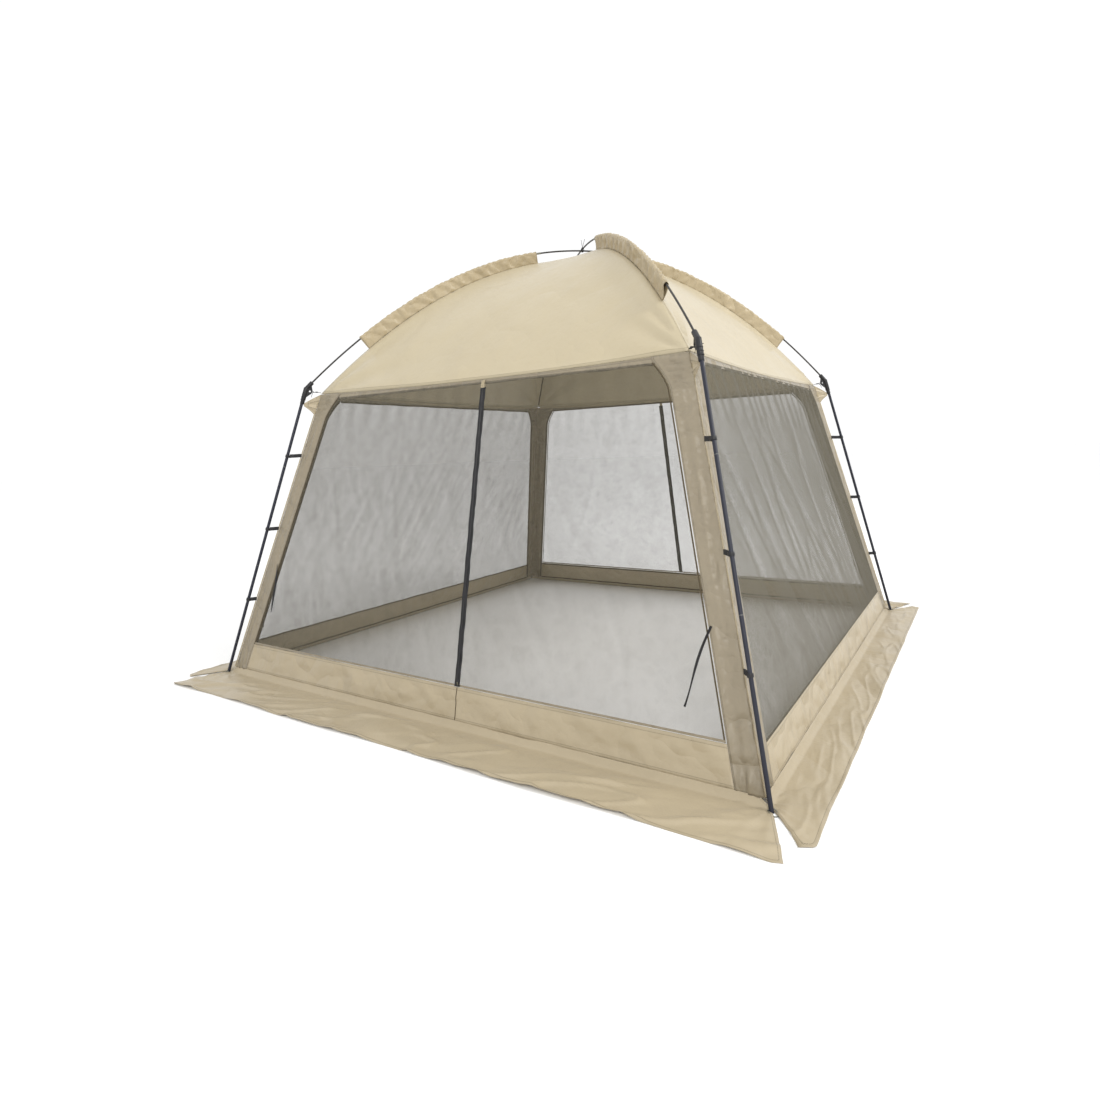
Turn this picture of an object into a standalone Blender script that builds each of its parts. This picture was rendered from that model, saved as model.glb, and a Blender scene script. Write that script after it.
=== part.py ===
"""Screen house: a square shelter with mesh walls, a domed fabric roof, four leaning
steel legs and two arch rods that cross over the roof.

Metres, +Z up.  The origin is on the ground below the crossing of the two arch rods.
+X is the right side and -Y the front, where one of the two zip doors is.
Run in Blender 4.5:  blender --background --python part.py
"""
import math

import bmesh
import bpy
from mathutils import Matrix, Vector

# ---------------------------------------------------------------- driving sizes (metres)
FOOT_HALF = 1.500            # leg foot to the centre, along X and along Y
ELBOW_HALF = 1.115           # where a leg's axis meets its arch rod, along X and along Y
ELBOW_Z = 1.545
ROD_APEX_Z = 2.300           # centre of the crossing of the two rods
LEG_RADIUS = 0.008
LEG_WALL = 0.001
ROD_RADIUS = 0.0045

ROOF_CORNER_INSET = 0.055    # elbow to the corner of the roof cloth, along X and along Y
ROOF_CORNER_DROP = 0.025     # the same, downwards
ROOF_HANG = 0.055            # crossing of the rods to the peak of the roof cloth
EAVE_SAG = 0.020             # how far the middle of a roof edge hangs below its corners
CLOTH = 0.0010               # thickness of every cloth solid

WALL_FOOT_INSET = 0.030      # leg foot to the foot of the wall cloth, along X and along Y
SEAM_Z = 0.030               # seam between a wall and its ground skirt
BAND_TOP_Z = 0.167           # top of the solid band below the mesh
FRONT_ZIP_FOOT = 0.140       # the front zip's foot and top lie to the right of the middle
FRONT_ZIP_TOP = 0.080
STRIP_WIDTH = 0.100          # corner strip, from the corner seam to the mesh
STRIP_TOP_WIDTH = 0.150      # the same at the roof edge
STRIP_FLARE_DROP = 0.187     # where the strip begins to widen, below its top
WALL_TOP_GAP = 0.013         # roof edge to the top of the walls, at mid span

FRONT_SKIRT_FLAP = 0.260     # leg foot to the outer edge of the front and back skirts
FRONT_SKIRT_SPREAD = 0.100   # how far that edge runs on past the legs at each end
SIDE_SKIRT_FLAP = 0.160
SIDE_SKIRT_SPREAD = 0.155
FRONT_SKIRT_TUCK = 0.020     # ends of the sewn edge, in from the corner seams
SIDE_SKIRT_TUCK = 0.024
SKIRT_FLARE = 0.004          # how far the ends draw apart where the skirt meets the ground
SKIRT_SEAM_DROP = 0.003
SKIRT_CLOTH = 0.0012

SLEEVE_INNER = 0.270         # ends of a rod sleeve, as distances from the centre line
SLEEVE_OUTER = 1.280
SLEEVE_WALL = 0.0012
SLEEVE_FIN = 0.0024          # thickness of the doubled cloth below the rod

HUB_WALL = 0.0038            # plastic round the leg's bore
HUB_COLLAR_WALL = 0.0023
HUB_ARM_WALL = 0.0060        # plastic round the rod's bore
HUB_SOCKET_LENGTH = 0.062
HUB_COLLAR_LENGTH = 0.022
HUB_ARM_LENGTH = 0.050
HUB_WEB_REACH = 0.034
HUB_WEB_THICKNESS = 0.008
HUB_WEB_FOOT = 0.058         # elbow to the web's lower and upper ends
HUB_WEB_TOP = 0.042
HUB_WEB_NOSE = 0.014         # length of the web's blunt inner end
HUB_HOLE_RADIUS = 0.0055
HUB_CORE = 0.012             # solid plastic between the bore ends and the elbow
HUB_LIP = 0.002              # narrowing at the mouth of the rod socket

CLIP_DROPS = (1.080, 0.694, 0.300)    # clips on a leg, below the top of the walls
CLIP_WALL = 0.0030
CLIP_LENGTH = 0.014
CLIP_STRAP = 0.0018
STRAP_WIDTH = 0.012
STRAP_THICKNESS = 0.0024
STRAP_BOW = 0.004            # rise of a corner strap's middle

TAB_LOW = 0.085              # corner tab: lower end, tip and blunt end below the wall top
TAB_TIP = 0.030
TAB_BLUNT = 0.008

SLIDER_SIZE = (0.012, 0.005, 0.026)
RING_WIRE = 0.002
RING_HALF_WIDTH = 0.013
RING_LENGTH = 0.032
RING_PIVOT_Z = 0.009
TIE_RADIUS = 0.0015
TIE_ROUND = 1.283            # width of the lashing's oval against the crossed rods
TIE_TAIL = 0.045
TIE_LEANS = (-0.16, 0.36)    # how far each tail leans for its rise
RIBBON_RADIUS = 0.0035
RIBBON_BOW = 0.006           # sideways waver of a hanging ribbon

# ---------------------------------------------------------------- clearances
TOUCH = 0.0003               # between pieces that touch
SEWN_GAP = 0.0005            # between the edges of two cloth panels sewn together
HINGE_GAP = 0.0040           # between a door and its corner strip, where it bends
SILL_GAP = 0.0015            # between a door and the band below it
LEG_SOCKET_CLEARANCE = 0.0007
ROD_SOCKET_CLEARANCE = 0.0010
SLEEVE_CLEARANCE = 0.0020
STRAP_CLEARANCE = 0.0040     # hub web to corner strap
STRAP_END_CLEARANCE = 0.0015
RIBBON_CLEARANCE = 0.0010    # ribbon to the cloth beside it
ROD_END_CLEARANCE = 0.0010
SLIDER_SILL = 0.004          # slider to the lower end of its zip
ROD_CROSSING_CLEARANCE = 0.0004

# ---------------------------------------------------------------- derived sizes
ROOT2 = math.sqrt(2.0)
LEG_LEAN = (FOOT_HALF - ELBOW_HALF) / ELBOW_Z
ROOF_CORNER_HALF = ELBOW_HALF - ROOF_CORNER_INSET
ROOF_CORNER_Z = ELBOW_Z - ROOF_CORNER_DROP
ROOF_APEX_Z = ROD_APEX_Z - ROOF_HANG
WALL_FOOT_HALF = FOOT_HALF - WALL_FOOT_INSET
LEG_BORE = LEG_RADIUS + LEG_SOCKET_CLEARANCE
ROD_BORE = ROD_RADIUS + ROD_SOCKET_CLEARANCE
HUB_RADIUS = LEG_BORE + HUB_WALL
HUB_COLLAR_RADIUS = LEG_BORE + HUB_COLLAR_WALL
HUB_ARM_RADIUS = ROD_BORE + HUB_ARM_WALL
WALL_LEAN = (WALL_FOOT_HALF - ROOF_CORNER_HALF) / (ROOF_CORNER_Z - SEAM_Z)
WALL_TOP_Z = ROOF_CORNER_Z - EAVE_SAG - WALL_TOP_GAP
STRIP_FLARE_Z = WALL_TOP_Z - STRIP_FLARE_DROP
ELBOW = Vector((ELBOW_HALF * ROOT2, 0.0, ELBOW_Z))
UP_LEG = Vector((-LEG_LEAN * ROOT2, 0.0, 1.0)).normalized()
WALL_UP = Vector((0.0, WALL_LEAN, 1.0)).normalized()
WALL_OUT = Vector((0.0, -1.0, WALL_LEAN)).normalized()

CORNERS = {"front_right": -45.0, "back_right": 45.0, "back_left": 135.0, "front_left": 225.0}
WALLS = {"front": 0.0, "right": 90.0, "back": 180.0, "left": 270.0}

MATERIALS = {
    "roof_cloth": ((0.66, 0.57, 0.39), 0.75, 0.0),
    "trim_cloth": ((0.42, 0.33, 0.19), 0.75, 0.0),
    "wall_cloth": ((0.50, 0.41, 0.25), 0.70, 0.0),
    "mesh_cloth": ((0.52, 0.54, 0.52), 0.85, 0.0),
    "leg_steel": ((0.012, 0.013, 0.020), 0.35, 0.6),
    "rod_fibreglass": ((0.020, 0.018, 0.016), 0.45, 0.0),
    "hub_plastic": ((0.014, 0.014, 0.015), 0.50, 0.0),
    "webbing": ((0.012, 0.012, 0.012), 0.80, 0.0),
    "ring_steel": ((0.22, 0.22, 0.19), 0.35, 1.0),
}


# ---------------------------------------------------------------- the frame's lines
def corner_half(z):
    """Half the distance between the wall cloth's corner seams at a height."""
    return WALL_FOOT_HALF - WALL_LEAN * (z - SEAM_Z)


def strip_edge(z):
    """Inner edge of a corner strip along its wall at a height."""
    width = STRIP_WIDTH
    if z > STRIP_FLARE_Z:
        rise = (z - STRIP_FLARE_Z) / (WALL_TOP_Z - STRIP_FLARE_Z)
        width += (STRIP_TOP_WIDTH - STRIP_WIDTH) * rise
    return corner_half(z) - width


def on_wall(x, z):
    """A point of the front wall's plane."""
    return Vector((x, -corner_half(z), z))


def rod_point(reach, apex_z=ROD_APEX_Z):
    """A point on an arch rod's axis, in its own upright plane."""
    share = reach / ELBOW.x
    return Vector((reach, 0.0, apex_z - (apex_z - ELBOW_Z) * share * share))


def crossing_z(upper):
    """Height of a rod's axis where the two rods cross."""
    lift = ROD_RADIUS + ROD_CROSSING_CLEARANCE
    return ROD_APEX_Z + (lift if upper else -lift)


def rod_tangent(reach):
    """Direction of the rod towards the crossing."""
    slope = 2.0 * (ROD_APEX_Z - ELBOW_Z) * reach / ELBOW.x ** 2
    return Vector((-1.0, 0.0, slope)).normalized()


def ridge_z(reach):
    """Height of the roof cloth's ridge seam below a rod."""
    share = reach / (ROOF_CORNER_HALF * ROOT2)
    return ROOF_APEX_Z - (ROOF_APEX_Z - ROOF_CORNER_Z) * share * share


# ---------------------------------------------------------------- making objects
def clear_scene():
    for item in list(bpy.data.objects):
        bpy.data.objects.remove(item, do_unlink=True)


def make_materials():
    for name, (colour, roughness, metallic) in MATERIALS.items():
        material = bpy.data.materials.new(name)
        material.use_nodes = True
        shader = material.node_tree.nodes["Principled BSDF"]
        shader.inputs["Base Color"].default_value = (*colour, 1.0)
        shader.inputs["Roughness"].default_value = roughness
        shader.inputs["Metallic"].default_value = metallic


def add_object(name, data, material, turn=0.0, smooth=False):
    """Link an object, turned about +Z by so many degrees."""
    data.materials.clear()
    data.materials.append(bpy.data.materials[material])
    item = bpy.data.objects.new(name, data)
    item.rotation_euler = (0.0, 0.0, math.radians(turn))
    bpy.context.collection.objects.link(item)
    if smooth:
        data.shade_smooth()
        data.set_sharp_from_angle(angle=math.radians(40.0))
    return item


def solid_mesh(name, points, faces):
    """A mesh from points and faces, with its faces turned outwards."""
    mesh = bpy.data.meshes.new(name)
    mesh.from_pydata([tuple(point) for point in points], [], faces)
    shape = bmesh.new()
    shape.from_mesh(mesh)
    bmesh.ops.recalc_face_normals(shape, faces=shape.faces)
    shape.to_mesh(mesh)
    shape.free()
    return mesh


def move_origin(item, place):
    """Put an object's origin at a point given in its own axes, leaving the shape still."""
    place = Vector(place)
    item.data.transform(Matrix.Translation(-place))
    item.location = item.rotation_euler.to_matrix() @ place


def plate(name, outline, out, thickness):
    """A flat panel: an outline thickened half to each side along a direction."""
    half = out * (thickness / 2.0)
    count = len(outline)
    points = [point + half for point in outline] + [point - half for point in outline]
    faces = [list(range(count)), list(range(2 * count - 1, count - 1, -1))]
    for index in range(count):
        after = (index + 1) % count
        faces.append([index, count + index, count + after, after])
    return solid_mesh(name, points, faces)


def swept(name, rings, closed_ends=True):
    """A solid through a list of rings that all have the same number of points."""
    count = len(rings[0])
    points = [point for ring in rings for point in ring]
    faces = []
    for step in range(len(rings) - 1):
        low = step * count
        for index in range(count):
            after = (index + 1) % count
            faces.append([low + index, low + after, low + count + after, low + count + index])
    if closed_ends:
        faces.append(list(range(count - 1, -1, -1)))
        last = (len(rings) - 1) * count
        faces.append(list(range(last, last + count)))
    return solid_mesh(name, points, faces)


def circle(centre, first, second, radius, sides):
    """Points of a circle spanned by two directions."""
    turns = [2.0 * math.pi * index / sides for index in range(sides)]
    return [centre + (first * math.cos(a) + second * math.sin(a)) * radius for a in turns]


def rod_mesh(name, points, radius, sides):
    """A round rod along points that lie in an upright plane through the X axis."""
    across = Vector((0.0, 1.0, 0.0))
    rings = []
    for index, point in enumerate(points):
        before = points[max(index - 1, 0)]
        after = points[min(index + 1, len(points) - 1)]
        along = (after - before).normalized()
        rings.append(circle(point, across, along.cross(across), radius, sides))
    return swept(name, rings)


def unite(item, others, operation="UNION"):
    """Join helper solids into an object, or cut them out of it."""
    for other in others:
        change = item.modifiers.new(other.name, "BOOLEAN")
        change.operation = operation
        change.solver = "EXACT"
        change.object = other
    graph = bpy.context.evaluated_depsgraph_get()
    result = bpy.data.meshes.new_from_object(item.evaluated_get(graph))
    item.modifiers.clear()
    item.data = result
    for other in others:
        bpy.data.objects.remove(other, do_unlink=True)


def helper(name, mesh):
    """An object that is only used to build another one."""
    item = bpy.data.objects.new(name, mesh)
    bpy.context.collection.objects.link(item)
    item.hide_render = True
    item.display_type = "WIRE"
    return item


# ---------------------------------------------------------------- frame pieces
def turned(name, axis_start, along, profile, sides=12):
    """A solid of revolution: profile is (distance along the axis, radius)."""
    across = Vector((0.0, 1.0, 0.0))
    side = along.cross(across)
    rings = [circle(axis_start + along * step, across, side, radius, sides)
             for step, radius in profile]
    return swept(name, rings)


def leg_mesh():
    """A steel tube, cut level at the ground and square inside the hub."""
    across = Vector((0.0, 1.0, 0.0))
    side = UP_LEG.cross(across)
    foot = Vector((FOOT_HALF * ROOT2, 0.0, 0.0))
    top = ELBOW - UP_LEG * (HUB_CORE + TOUCH)
    rings = []
    for radius in (LEG_RADIUS, LEG_RADIUS - LEG_WALL):
        low = circle(foot, across, side, radius, 12)
        low = [point - UP_LEG * (point.z / UP_LEG.z) for point in low]
        high = circle(top, across, side, radius, 12)
        rings.append((low, high))
    (outer_low, outer_high), (inner_low, inner_high) = rings
    loop = [outer_low, outer_high, inner_high, inner_low, outer_low]
    points = [point for ring in loop[:4] for point in ring]
    faces = []
    for step in range(4):
        low = step * 12
        high = ((step + 1) % 4) * 12
        for index in range(12):
            after = (index + 1) % 12
            faces.append([low + index, low + after, high + after, high + index])
    return solid_mesh("leg", points, faces)


def build_legs():
    mesh = leg_mesh()
    for corner, turn in CORNERS.items():
        add_object("leg_" + corner, mesh.copy(), "leg_steel", turn, smooth=True)


def hub_web():
    """The flat web on the inner side of an elbow."""
    rod_way = rod_tangent(ELBOW.x)
    inward = (rod_way - UP_LEG).normalized()
    outline = [
        ELBOW - UP_LEG * HUB_WEB_FOOT,
        ELBOW + inward * HUB_WEB_REACH - UP_LEG * (HUB_WEB_NOSE / 2.0),
        ELBOW + inward * HUB_WEB_REACH + rod_way * (HUB_WEB_NOSE / 2.0),
        ELBOW + rod_way * HUB_WEB_TOP,
        ELBOW,
    ]
    return helper("web", plate("web", outline, Vector((0.0, 1.0, 0.0)), HUB_WEB_THICKNESS))


def hub_parts():
    """One moulded elbow: leg socket with a collar, rod socket, and a pierced web."""
    rod_way = rod_tangent(ELBOW.x)
    inward = (rod_way - UP_LEG).normalized()
    full = HUB_SOCKET_LENGTH + HUB_COLLAR_LENGTH
    base = ELBOW - UP_LEG * full
    profile = [(0.0, HUB_COLLAR_RADIUS), (HUB_COLLAR_LENGTH, HUB_COLLAR_RADIUS),
               (HUB_COLLAR_LENGTH + HUB_LIP / 2.0, HUB_RADIUS), (full + HUB_CORE / 2.0, HUB_RADIUS)]
    socket = helper("socket", turned("socket", base, UP_LEG, profile))
    arm_profile = [(0.0, HUB_ARM_RADIUS), (HUB_ARM_LENGTH - HUB_LIP, HUB_ARM_RADIUS),
                   (HUB_ARM_LENGTH, HUB_ARM_RADIUS - HUB_LIP)]
    arm = helper("arm", turned("arm", ELBOW, rod_way, arm_profile))
    leg_bore = helper("leg_bore", turned("leg_bore", base - UP_LEG * HUB_CORE, UP_LEG,
                                         [(0.0, LEG_BORE), (full, LEG_BORE)]))
    rod_bore = helper("rod_bore", turned("rod_bore", ELBOW + rod_way * HUB_CORE, rod_way,
                                         [(0.0, ROD_BORE), (HUB_ARM_LENGTH, ROD_BORE)]))
    eye_centre = ELBOW + inward * (HUB_RADIUS + HUB_WEB_REACH) / 2.0
    across = Vector((0.0, 1.0, 0.0))
    eye = helper("eye", turned_across("eye", eye_centre, across, HUB_HOLE_RADIUS))
    return socket, [arm, hub_web()], [leg_bore, rod_bore, eye]


def turned_across(name, centre, across, radius):
    """A short round cutter lying across the upright plane."""
    first = Vector((1.0, 0.0, 0.0))
    second = Vector((0.0, 0.0, 1.0))
    ends = (-2.0 * HUB_WEB_THICKNESS, 2.0 * HUB_WEB_THICKNESS)
    rings = [circle(centre + across * step, first, second, radius, 10) for step in ends]
    return swept(name, rings)


def build_hubs():
    socket, added, cut = hub_parts()
    unite(socket, added)
    weld(socket.data)
    unite(socket, cut, "DIFFERENCE")
    weld(socket.data)
    mesh = socket.data
    for corner, turn in CORNERS.items():
        add_object("hub_" + corner, mesh.copy(), "hub_plastic", turn, smooth=True)
    bpy.data.objects.remove(socket, do_unlink=True)


def build_rods():
    """Two arch rods: one passes just over the other at the crossing."""
    end = ELBOW + rod_tangent(ELBOW.x) * (HUB_CORE + TOUCH + ROD_END_CLEARANCE)
    steps = 15
    for name, turn, apex in (("arch_rod_upper", -45.0, crossing_z(True)),
                             ("arch_rod_lower", 45.0, crossing_z(False))):
        reach = [end.x * step / steps for step in range(-steps, steps + 1)]
        points = [rod_point(abs(r), apex) for r in reach]
        points = [Vector((r, 0.0, p.z)) for r, p in zip(reach, points)]
        mesh = rod_mesh(name, points, ROD_RADIUS, 8)
        add_object(name, mesh, "rod_fibreglass", turn, smooth=True)


def build_apex_tie():
    """A cord lashed round the crossing, with two short stiff tails."""
    centre = Vector((0.0, 0.0, ROD_APEX_Z))
    wide = ROD_RADIUS * ROOT2 * TIE_ROUND + TIE_RADIUS
    tall = 2.0 * ROD_RADIUS + ROD_CROSSING_CLEARANCE + TIE_RADIUS + 3.0 * TOUCH
    sides = 20
    rings = []
    for index in range(sides):
        turn = 2.0 * math.pi * index / sides
        out = Vector((math.cos(turn) * wide, 0.0, math.sin(turn) * tall))
        rings.append(circle(centre + out, out.normalized(), Vector((0.0, 1.0, 0.0)), TIE_RADIUS, 6))
    loop = helper("loop", swept("loop", rings + [rings[0]], closed_ends=False))
    weld(loop.data)
    tails = []
    for number, lean in enumerate(TIE_LEANS):
        start = centre + Vector((0.0, 0.0, tall - TIE_RADIUS / 3.0))
        rises = (0.0, TIE_TAIL / 2.0, TIE_TAIL)
        points = [start + Vector((lean * rise, 0.0, rise)) for rise in rises]
        mesh = rod_mesh("tail", points, TIE_RADIUS * 0.8, 6)
        tails.append(helper("tail%d" % number, mesh))
    unite(loop, tails)
    mesh = loop.data
    bpy.data.objects.remove(loop, do_unlink=True)
    add_object("apex_tie", mesh, "webbing", smooth=True)


def weld(mesh):
    """Merge points that lie on each other."""
    shape = bmesh.new()
    shape.from_mesh(mesh)
    bmesh.ops.remove_doubles(shape, verts=shape.verts, dist=0.00001)
    bmesh.ops.recalc_face_normals(shape, faces=shape.faces)
    shape.to_mesh(mesh)
    shape.free()


def build_clips():
    """Rings on the legs, each with a strap to the corner seam."""
    sides = 12
    inner = LEG_RADIUS + TOUCH * 2.0
    for number, drop in enumerate(CLIP_DROPS, start=1):
        height = WALL_TOP_Z - drop
        centre = Vector(((FOOT_HALF - LEG_LEAN * height) * ROOT2, 0.0, height))
        across = Vector((0.0, 1.0, 0.0))
        side = across.cross(UP_LEG)
        seam = (corner_half(height - CLIP_LENGTH) + CLOTH) * ROOT2
        mesh = clip_mesh(centre, side, across, inner, seam, sides)
        for corner, turn in CORNERS.items():
            name = "leg_clip_%s_%d" % (corner, number)
            add_object(name, mesh.copy(), "webbing", turn, smooth=True)


def clip_mesh(centre, side, across, inner, seam, sides):
    """A ring whose inward face is drawn out into a flat strap."""
    half = UP_LEG * (CLIP_LENGTH / 2.0)
    half_turn = math.pi / sides
    rings = []
    for radius, shift in ((inner, -half), (inner + CLIP_WALL, -half),
                          (inner + CLIP_WALL, half), (inner, half)):
        ring = []
        for index in range(sides):
            turn = math.pi + half_turn * (2 * index - 1)
            ring.append(centre + shift + (side * math.cos(turn) + across * math.sin(turn)) * radius)
        rings.append(ring)
    points = [point for ring in rings for point in ring]
    faces = []
    for step in range(4):
        low = step * sides
        high = ((step + 1) % 4) * sides
        for index in range(sides):
            if step == 1 and index == 0:
                continue
            after = (index + 1) % sides
            faces.append([low + index, low + after, high + after, high + index])
    root = [sides, sides + 1, 2 * sides + 1, 2 * sides]
    tips = []
    for index in root:
        point = points[index].copy()
        point.x = seam
        point.z = centre.z + (CLIP_LENGTH / 2.0 if index >= 2 * sides else -CLIP_LENGTH / 2.0)
        point.y = math.copysign(CLIP_STRAP / 2.0, point.y)
        tips.append(len(points))
        points.append(point)
    for index in range(4):
        after = (index + 1) % 4
        faces.append([root[index], root[after], tips[after], tips[index]])
    faces.append(tips)
    return solid_mesh("clip", points, faces)


def build_corner_straps():
    """Short webbing from each hub's web to the corner of the roof cloth."""
    rod_way = rod_tangent(ELBOW.x)
    inward = (rod_way - UP_LEG).normalized()
    start = ELBOW + inward * (HUB_WEB_REACH + STRAP_CLEARANCE)
    end = Vector((ROOF_CORNER_HALF * ROOT2 + STRAP_END_CLEARANCE, 0.0, ROOF_CORNER_Z + CLOTH))
    middle = (start + end) / 2.0 + Vector((0.0, 0.0, STRAP_BOW))
    across = Vector((0.0, STRAP_WIDTH / 2.0, 0.0))
    thick = Vector((0.0, 0.0, STRAP_THICKNESS / 2.0))
    rings = [[p + across + thick, p - across + thick, p - across - thick, p + across - thick]
             for p in (start, middle, end)]
    mesh = swept("corner_strap", rings)
    for corner, turn in CORNERS.items():
        add_object("corner_strap_" + corner, mesh.copy(), "webbing", turn)


def build_foot_rings():
    """Wire loops that swing on the legs' feet, for the ground pegs."""
    for corner, turn in CORNERS.items():
        pivot = Vector(((FOOT_HALF - LEG_LEAN * RING_PIVOT_Z) * ROOT2, 0.0, RING_PIVOT_Z))
        reach = RING_LENGTH - RING_HALF_WIDTH
        drop = RING_WIRE - RING_PIVOT_Z
        eye = LEG_RADIUS + RING_WIRE * 0.3
        path = [Vector((0.0, eye, 0.0)), Vector((0.0, RING_HALF_WIDTH, 0.0))]
        path.append(Vector((reach, RING_HALF_WIDTH, drop * reach / RING_LENGTH)))
        for step in range(1, 6):
            angle = math.pi * (0.5 - step / 6.0)
            out = reach + RING_HALF_WIDTH * math.cos(angle)
            path.append(Vector((out, RING_HALF_WIDTH * math.sin(angle), drop * out / RING_LENGTH)))
        path.append(Vector((reach, -RING_HALF_WIDTH, drop * reach / RING_LENGTH)))
        path.append(Vector((0.0, -RING_HALF_WIDTH, 0.0)))
        path.append(Vector((0.0, -eye, 0.0)))
        item = add_object("foot_ring_" + corner, wire("foot_ring", path, RING_WIRE, 1), "ring_steel", turn)
        item.location = item.rotation_euler.to_matrix() @ pivot


def wire(name, path, radius, resolution):
    """A round wire along points, with closed ends."""
    curve = bpy.data.curves.new(name, "CURVE")
    curve.dimensions = "3D"
    curve.bevel_depth = radius
    curve.bevel_resolution = resolution
    curve.use_fill_caps = True
    spline = curve.splines.new("POLY")
    spline.points.add(len(path) - 1)
    for point, place in zip(spline.points, path):
        point.co = (*place, 1.0)
    return curve


# ---------------------------------------------------------------- roof
def build_roof_gores():
    """Four triangular panels between the ridge seams."""
    rows = 8
    columns = 8
    inner_share = 0.004
    for wall, turn in WALLS.items():
        top = []
        for row in range(rows + 1):
            share = inner_share + (1.0 - inner_share) * row / rows
            half = ROOF_CORNER_HALF * share
            for column in range(columns + 1):
                place = 2.0 * column / columns - 1.0
                sag = EAVE_SAG * share * share * (1.0 - place * place)
                height = ridge_z(half * ROOT2) - sag
                top.append(Vector(((half - SEWN_GAP) * place, -half, height)))
        mesh = sheet_solid("roof_gore", top, rows, columns, Vector((0.0, 0.0, -CLOTH)))
        add_object("roof_gore_" + wall, mesh, "roof_cloth", turn, smooth=True)


def sheet_solid(name, top, rows, columns, drop):
    """A grid of points thickened by a fixed step."""
    count = len(top)
    points = top + [point + drop for point in top]
    wide = columns + 1
    faces = []
    for row in range(rows):
        for column in range(columns):
            low = row * wide + column
            quad = [low, low + 1, low + wide + 1, low + wide]
            faces.append(quad)
            faces.append([count + index for index in reversed(quad)])
    rim = [index for index in range(wide)]
    rim += [row * wide + columns for row in range(1, rows + 1)]
    rim += [rows * wide + column for column in range(columns - 1, -1, -1)]
    rim += [row * wide for row in range(rows - 1, 0, -1)]
    for index, start in enumerate(rim):
        after = rim[(index + 1) % len(rim)]
        faces.append([start, after, count + after, count + start])
    return solid_mesh(name, points, faces)


def sleeve_section(reach, apex_z):
    """Outer and inner outline of a rod sleeve where it crosses the rod squarely."""
    centre = rod_point(reach, apex_z)
    along = rod_tangent(reach)
    across = Vector((0.0, 1.0, 0.0))
    up = along.cross(across)
    if up.z < 0.0:
        up = -up
    bore = ROD_RADIUS + SLEEVE_CLEARANCE
    skin = bore + SLEEVE_WALL
    depth = ROD_APEX_Z - ROOF_APEX_Z
    for _ in range(12):
        tip = centre - up * depth
        depth += (tip.z - ridge_z(tip.x) - SEWN_GAP * 2.0) * 0.7
    angles = [math.radians(a) for a in (-42, -10, 25, 60, 90, 120, 155, 190, 222)]
    outer = [centre + across * math.cos(a) * skin + up * math.sin(a) * skin for a in angles]
    inner = [centre + across * math.cos(a) * bore + up * math.sin(a) * bore for a in angles]
    fin = SLEEVE_FIN / 2.0
    for side, angle in ((-1.0, 250), (1.0, 290)):
        turn = math.radians(angle)
        outer.append(centre + across * side * fin - up * depth)
        inner.append(centre + across * math.cos(turn) * bore + up * math.sin(turn) * bore)
    return outer, inner


def build_rod_sleeves():
    """Cloth sleeves that stand on the ridge seams, each with a rod in its top edge."""
    steps = 9
    for corner, turn in CORNERS.items():
        sections = []
        apex_z = crossing_z(corner in ("front_right", "back_left"))
        for step in range(steps + 1):
            reach = SLEEVE_INNER + (SLEEVE_OUTER - SLEEVE_INNER) * step / steps
            sections.append(sleeve_section(reach, apex_z))
        count = len(sections[0][0])
        points = []
        for outer, inner in sections:
            points += outer + inner
        faces = []
        stride = 2 * count
        for step in range(steps):
            for layer in (0, count):
                for index in range(count):
                    after = (index + 1) % count
                    low = step * stride + layer
                    faces.append([low + index, low + after, low + stride + after, low + stride + index])
        for low in (0, steps * stride):
            for index in range(count):
                after = (index + 1) % count
                faces.append([low + index, low + after, low + count + after, low + count + index])
        mesh = solid_mesh("rod_sleeve", points, faces)
        add_object("rod_sleeve_" + corner, mesh, "trim_cloth", turn, smooth=True)


# ---------------------------------------------------------------- walls
def build_corner_panels():
    """Folded strips down the four corners, each with a tab towards the hub."""
    heights = (SEAM_Z, STRIP_FLARE_Z, WALL_TOP_Z)
    for corner, turn in CORNERS.items():
        points = []
        for z in heights:
            half = corner_half(z)
            points.append(Vector((half, -strip_edge(z), z)))
            points.append(Vector((half, -half, z)))
            points.append(Vector((strip_edge(z), -half, z)))
        faces = []
        for row in range(len(heights) - 1):
            low = row * 3
            for index in (0, 1):
                faces.append([low + index, low + index + 1, low + index + 4, low + index + 3])
        mesh = solid_mesh("corner_panel", points, faces)
        mesh.transform(Matrix.Rotation(math.radians(45.0), 4, "Z"))
        item = add_object("corner_panel_" + corner, mesh, "wall_cloth", turn)
        wall = item.modifiers.new("cloth", "SOLIDIFY")
        wall.thickness = CLOTH
        wall.offset = 0.0
        wall.use_even_offset = True
        graph = bpy.context.evaluated_depsgraph_get()
        item.data = bpy.data.meshes.new_from_object(item.evaluated_get(graph))
        item.modifiers.clear()
        unite(item, [corner_tab(turn)])


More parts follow.
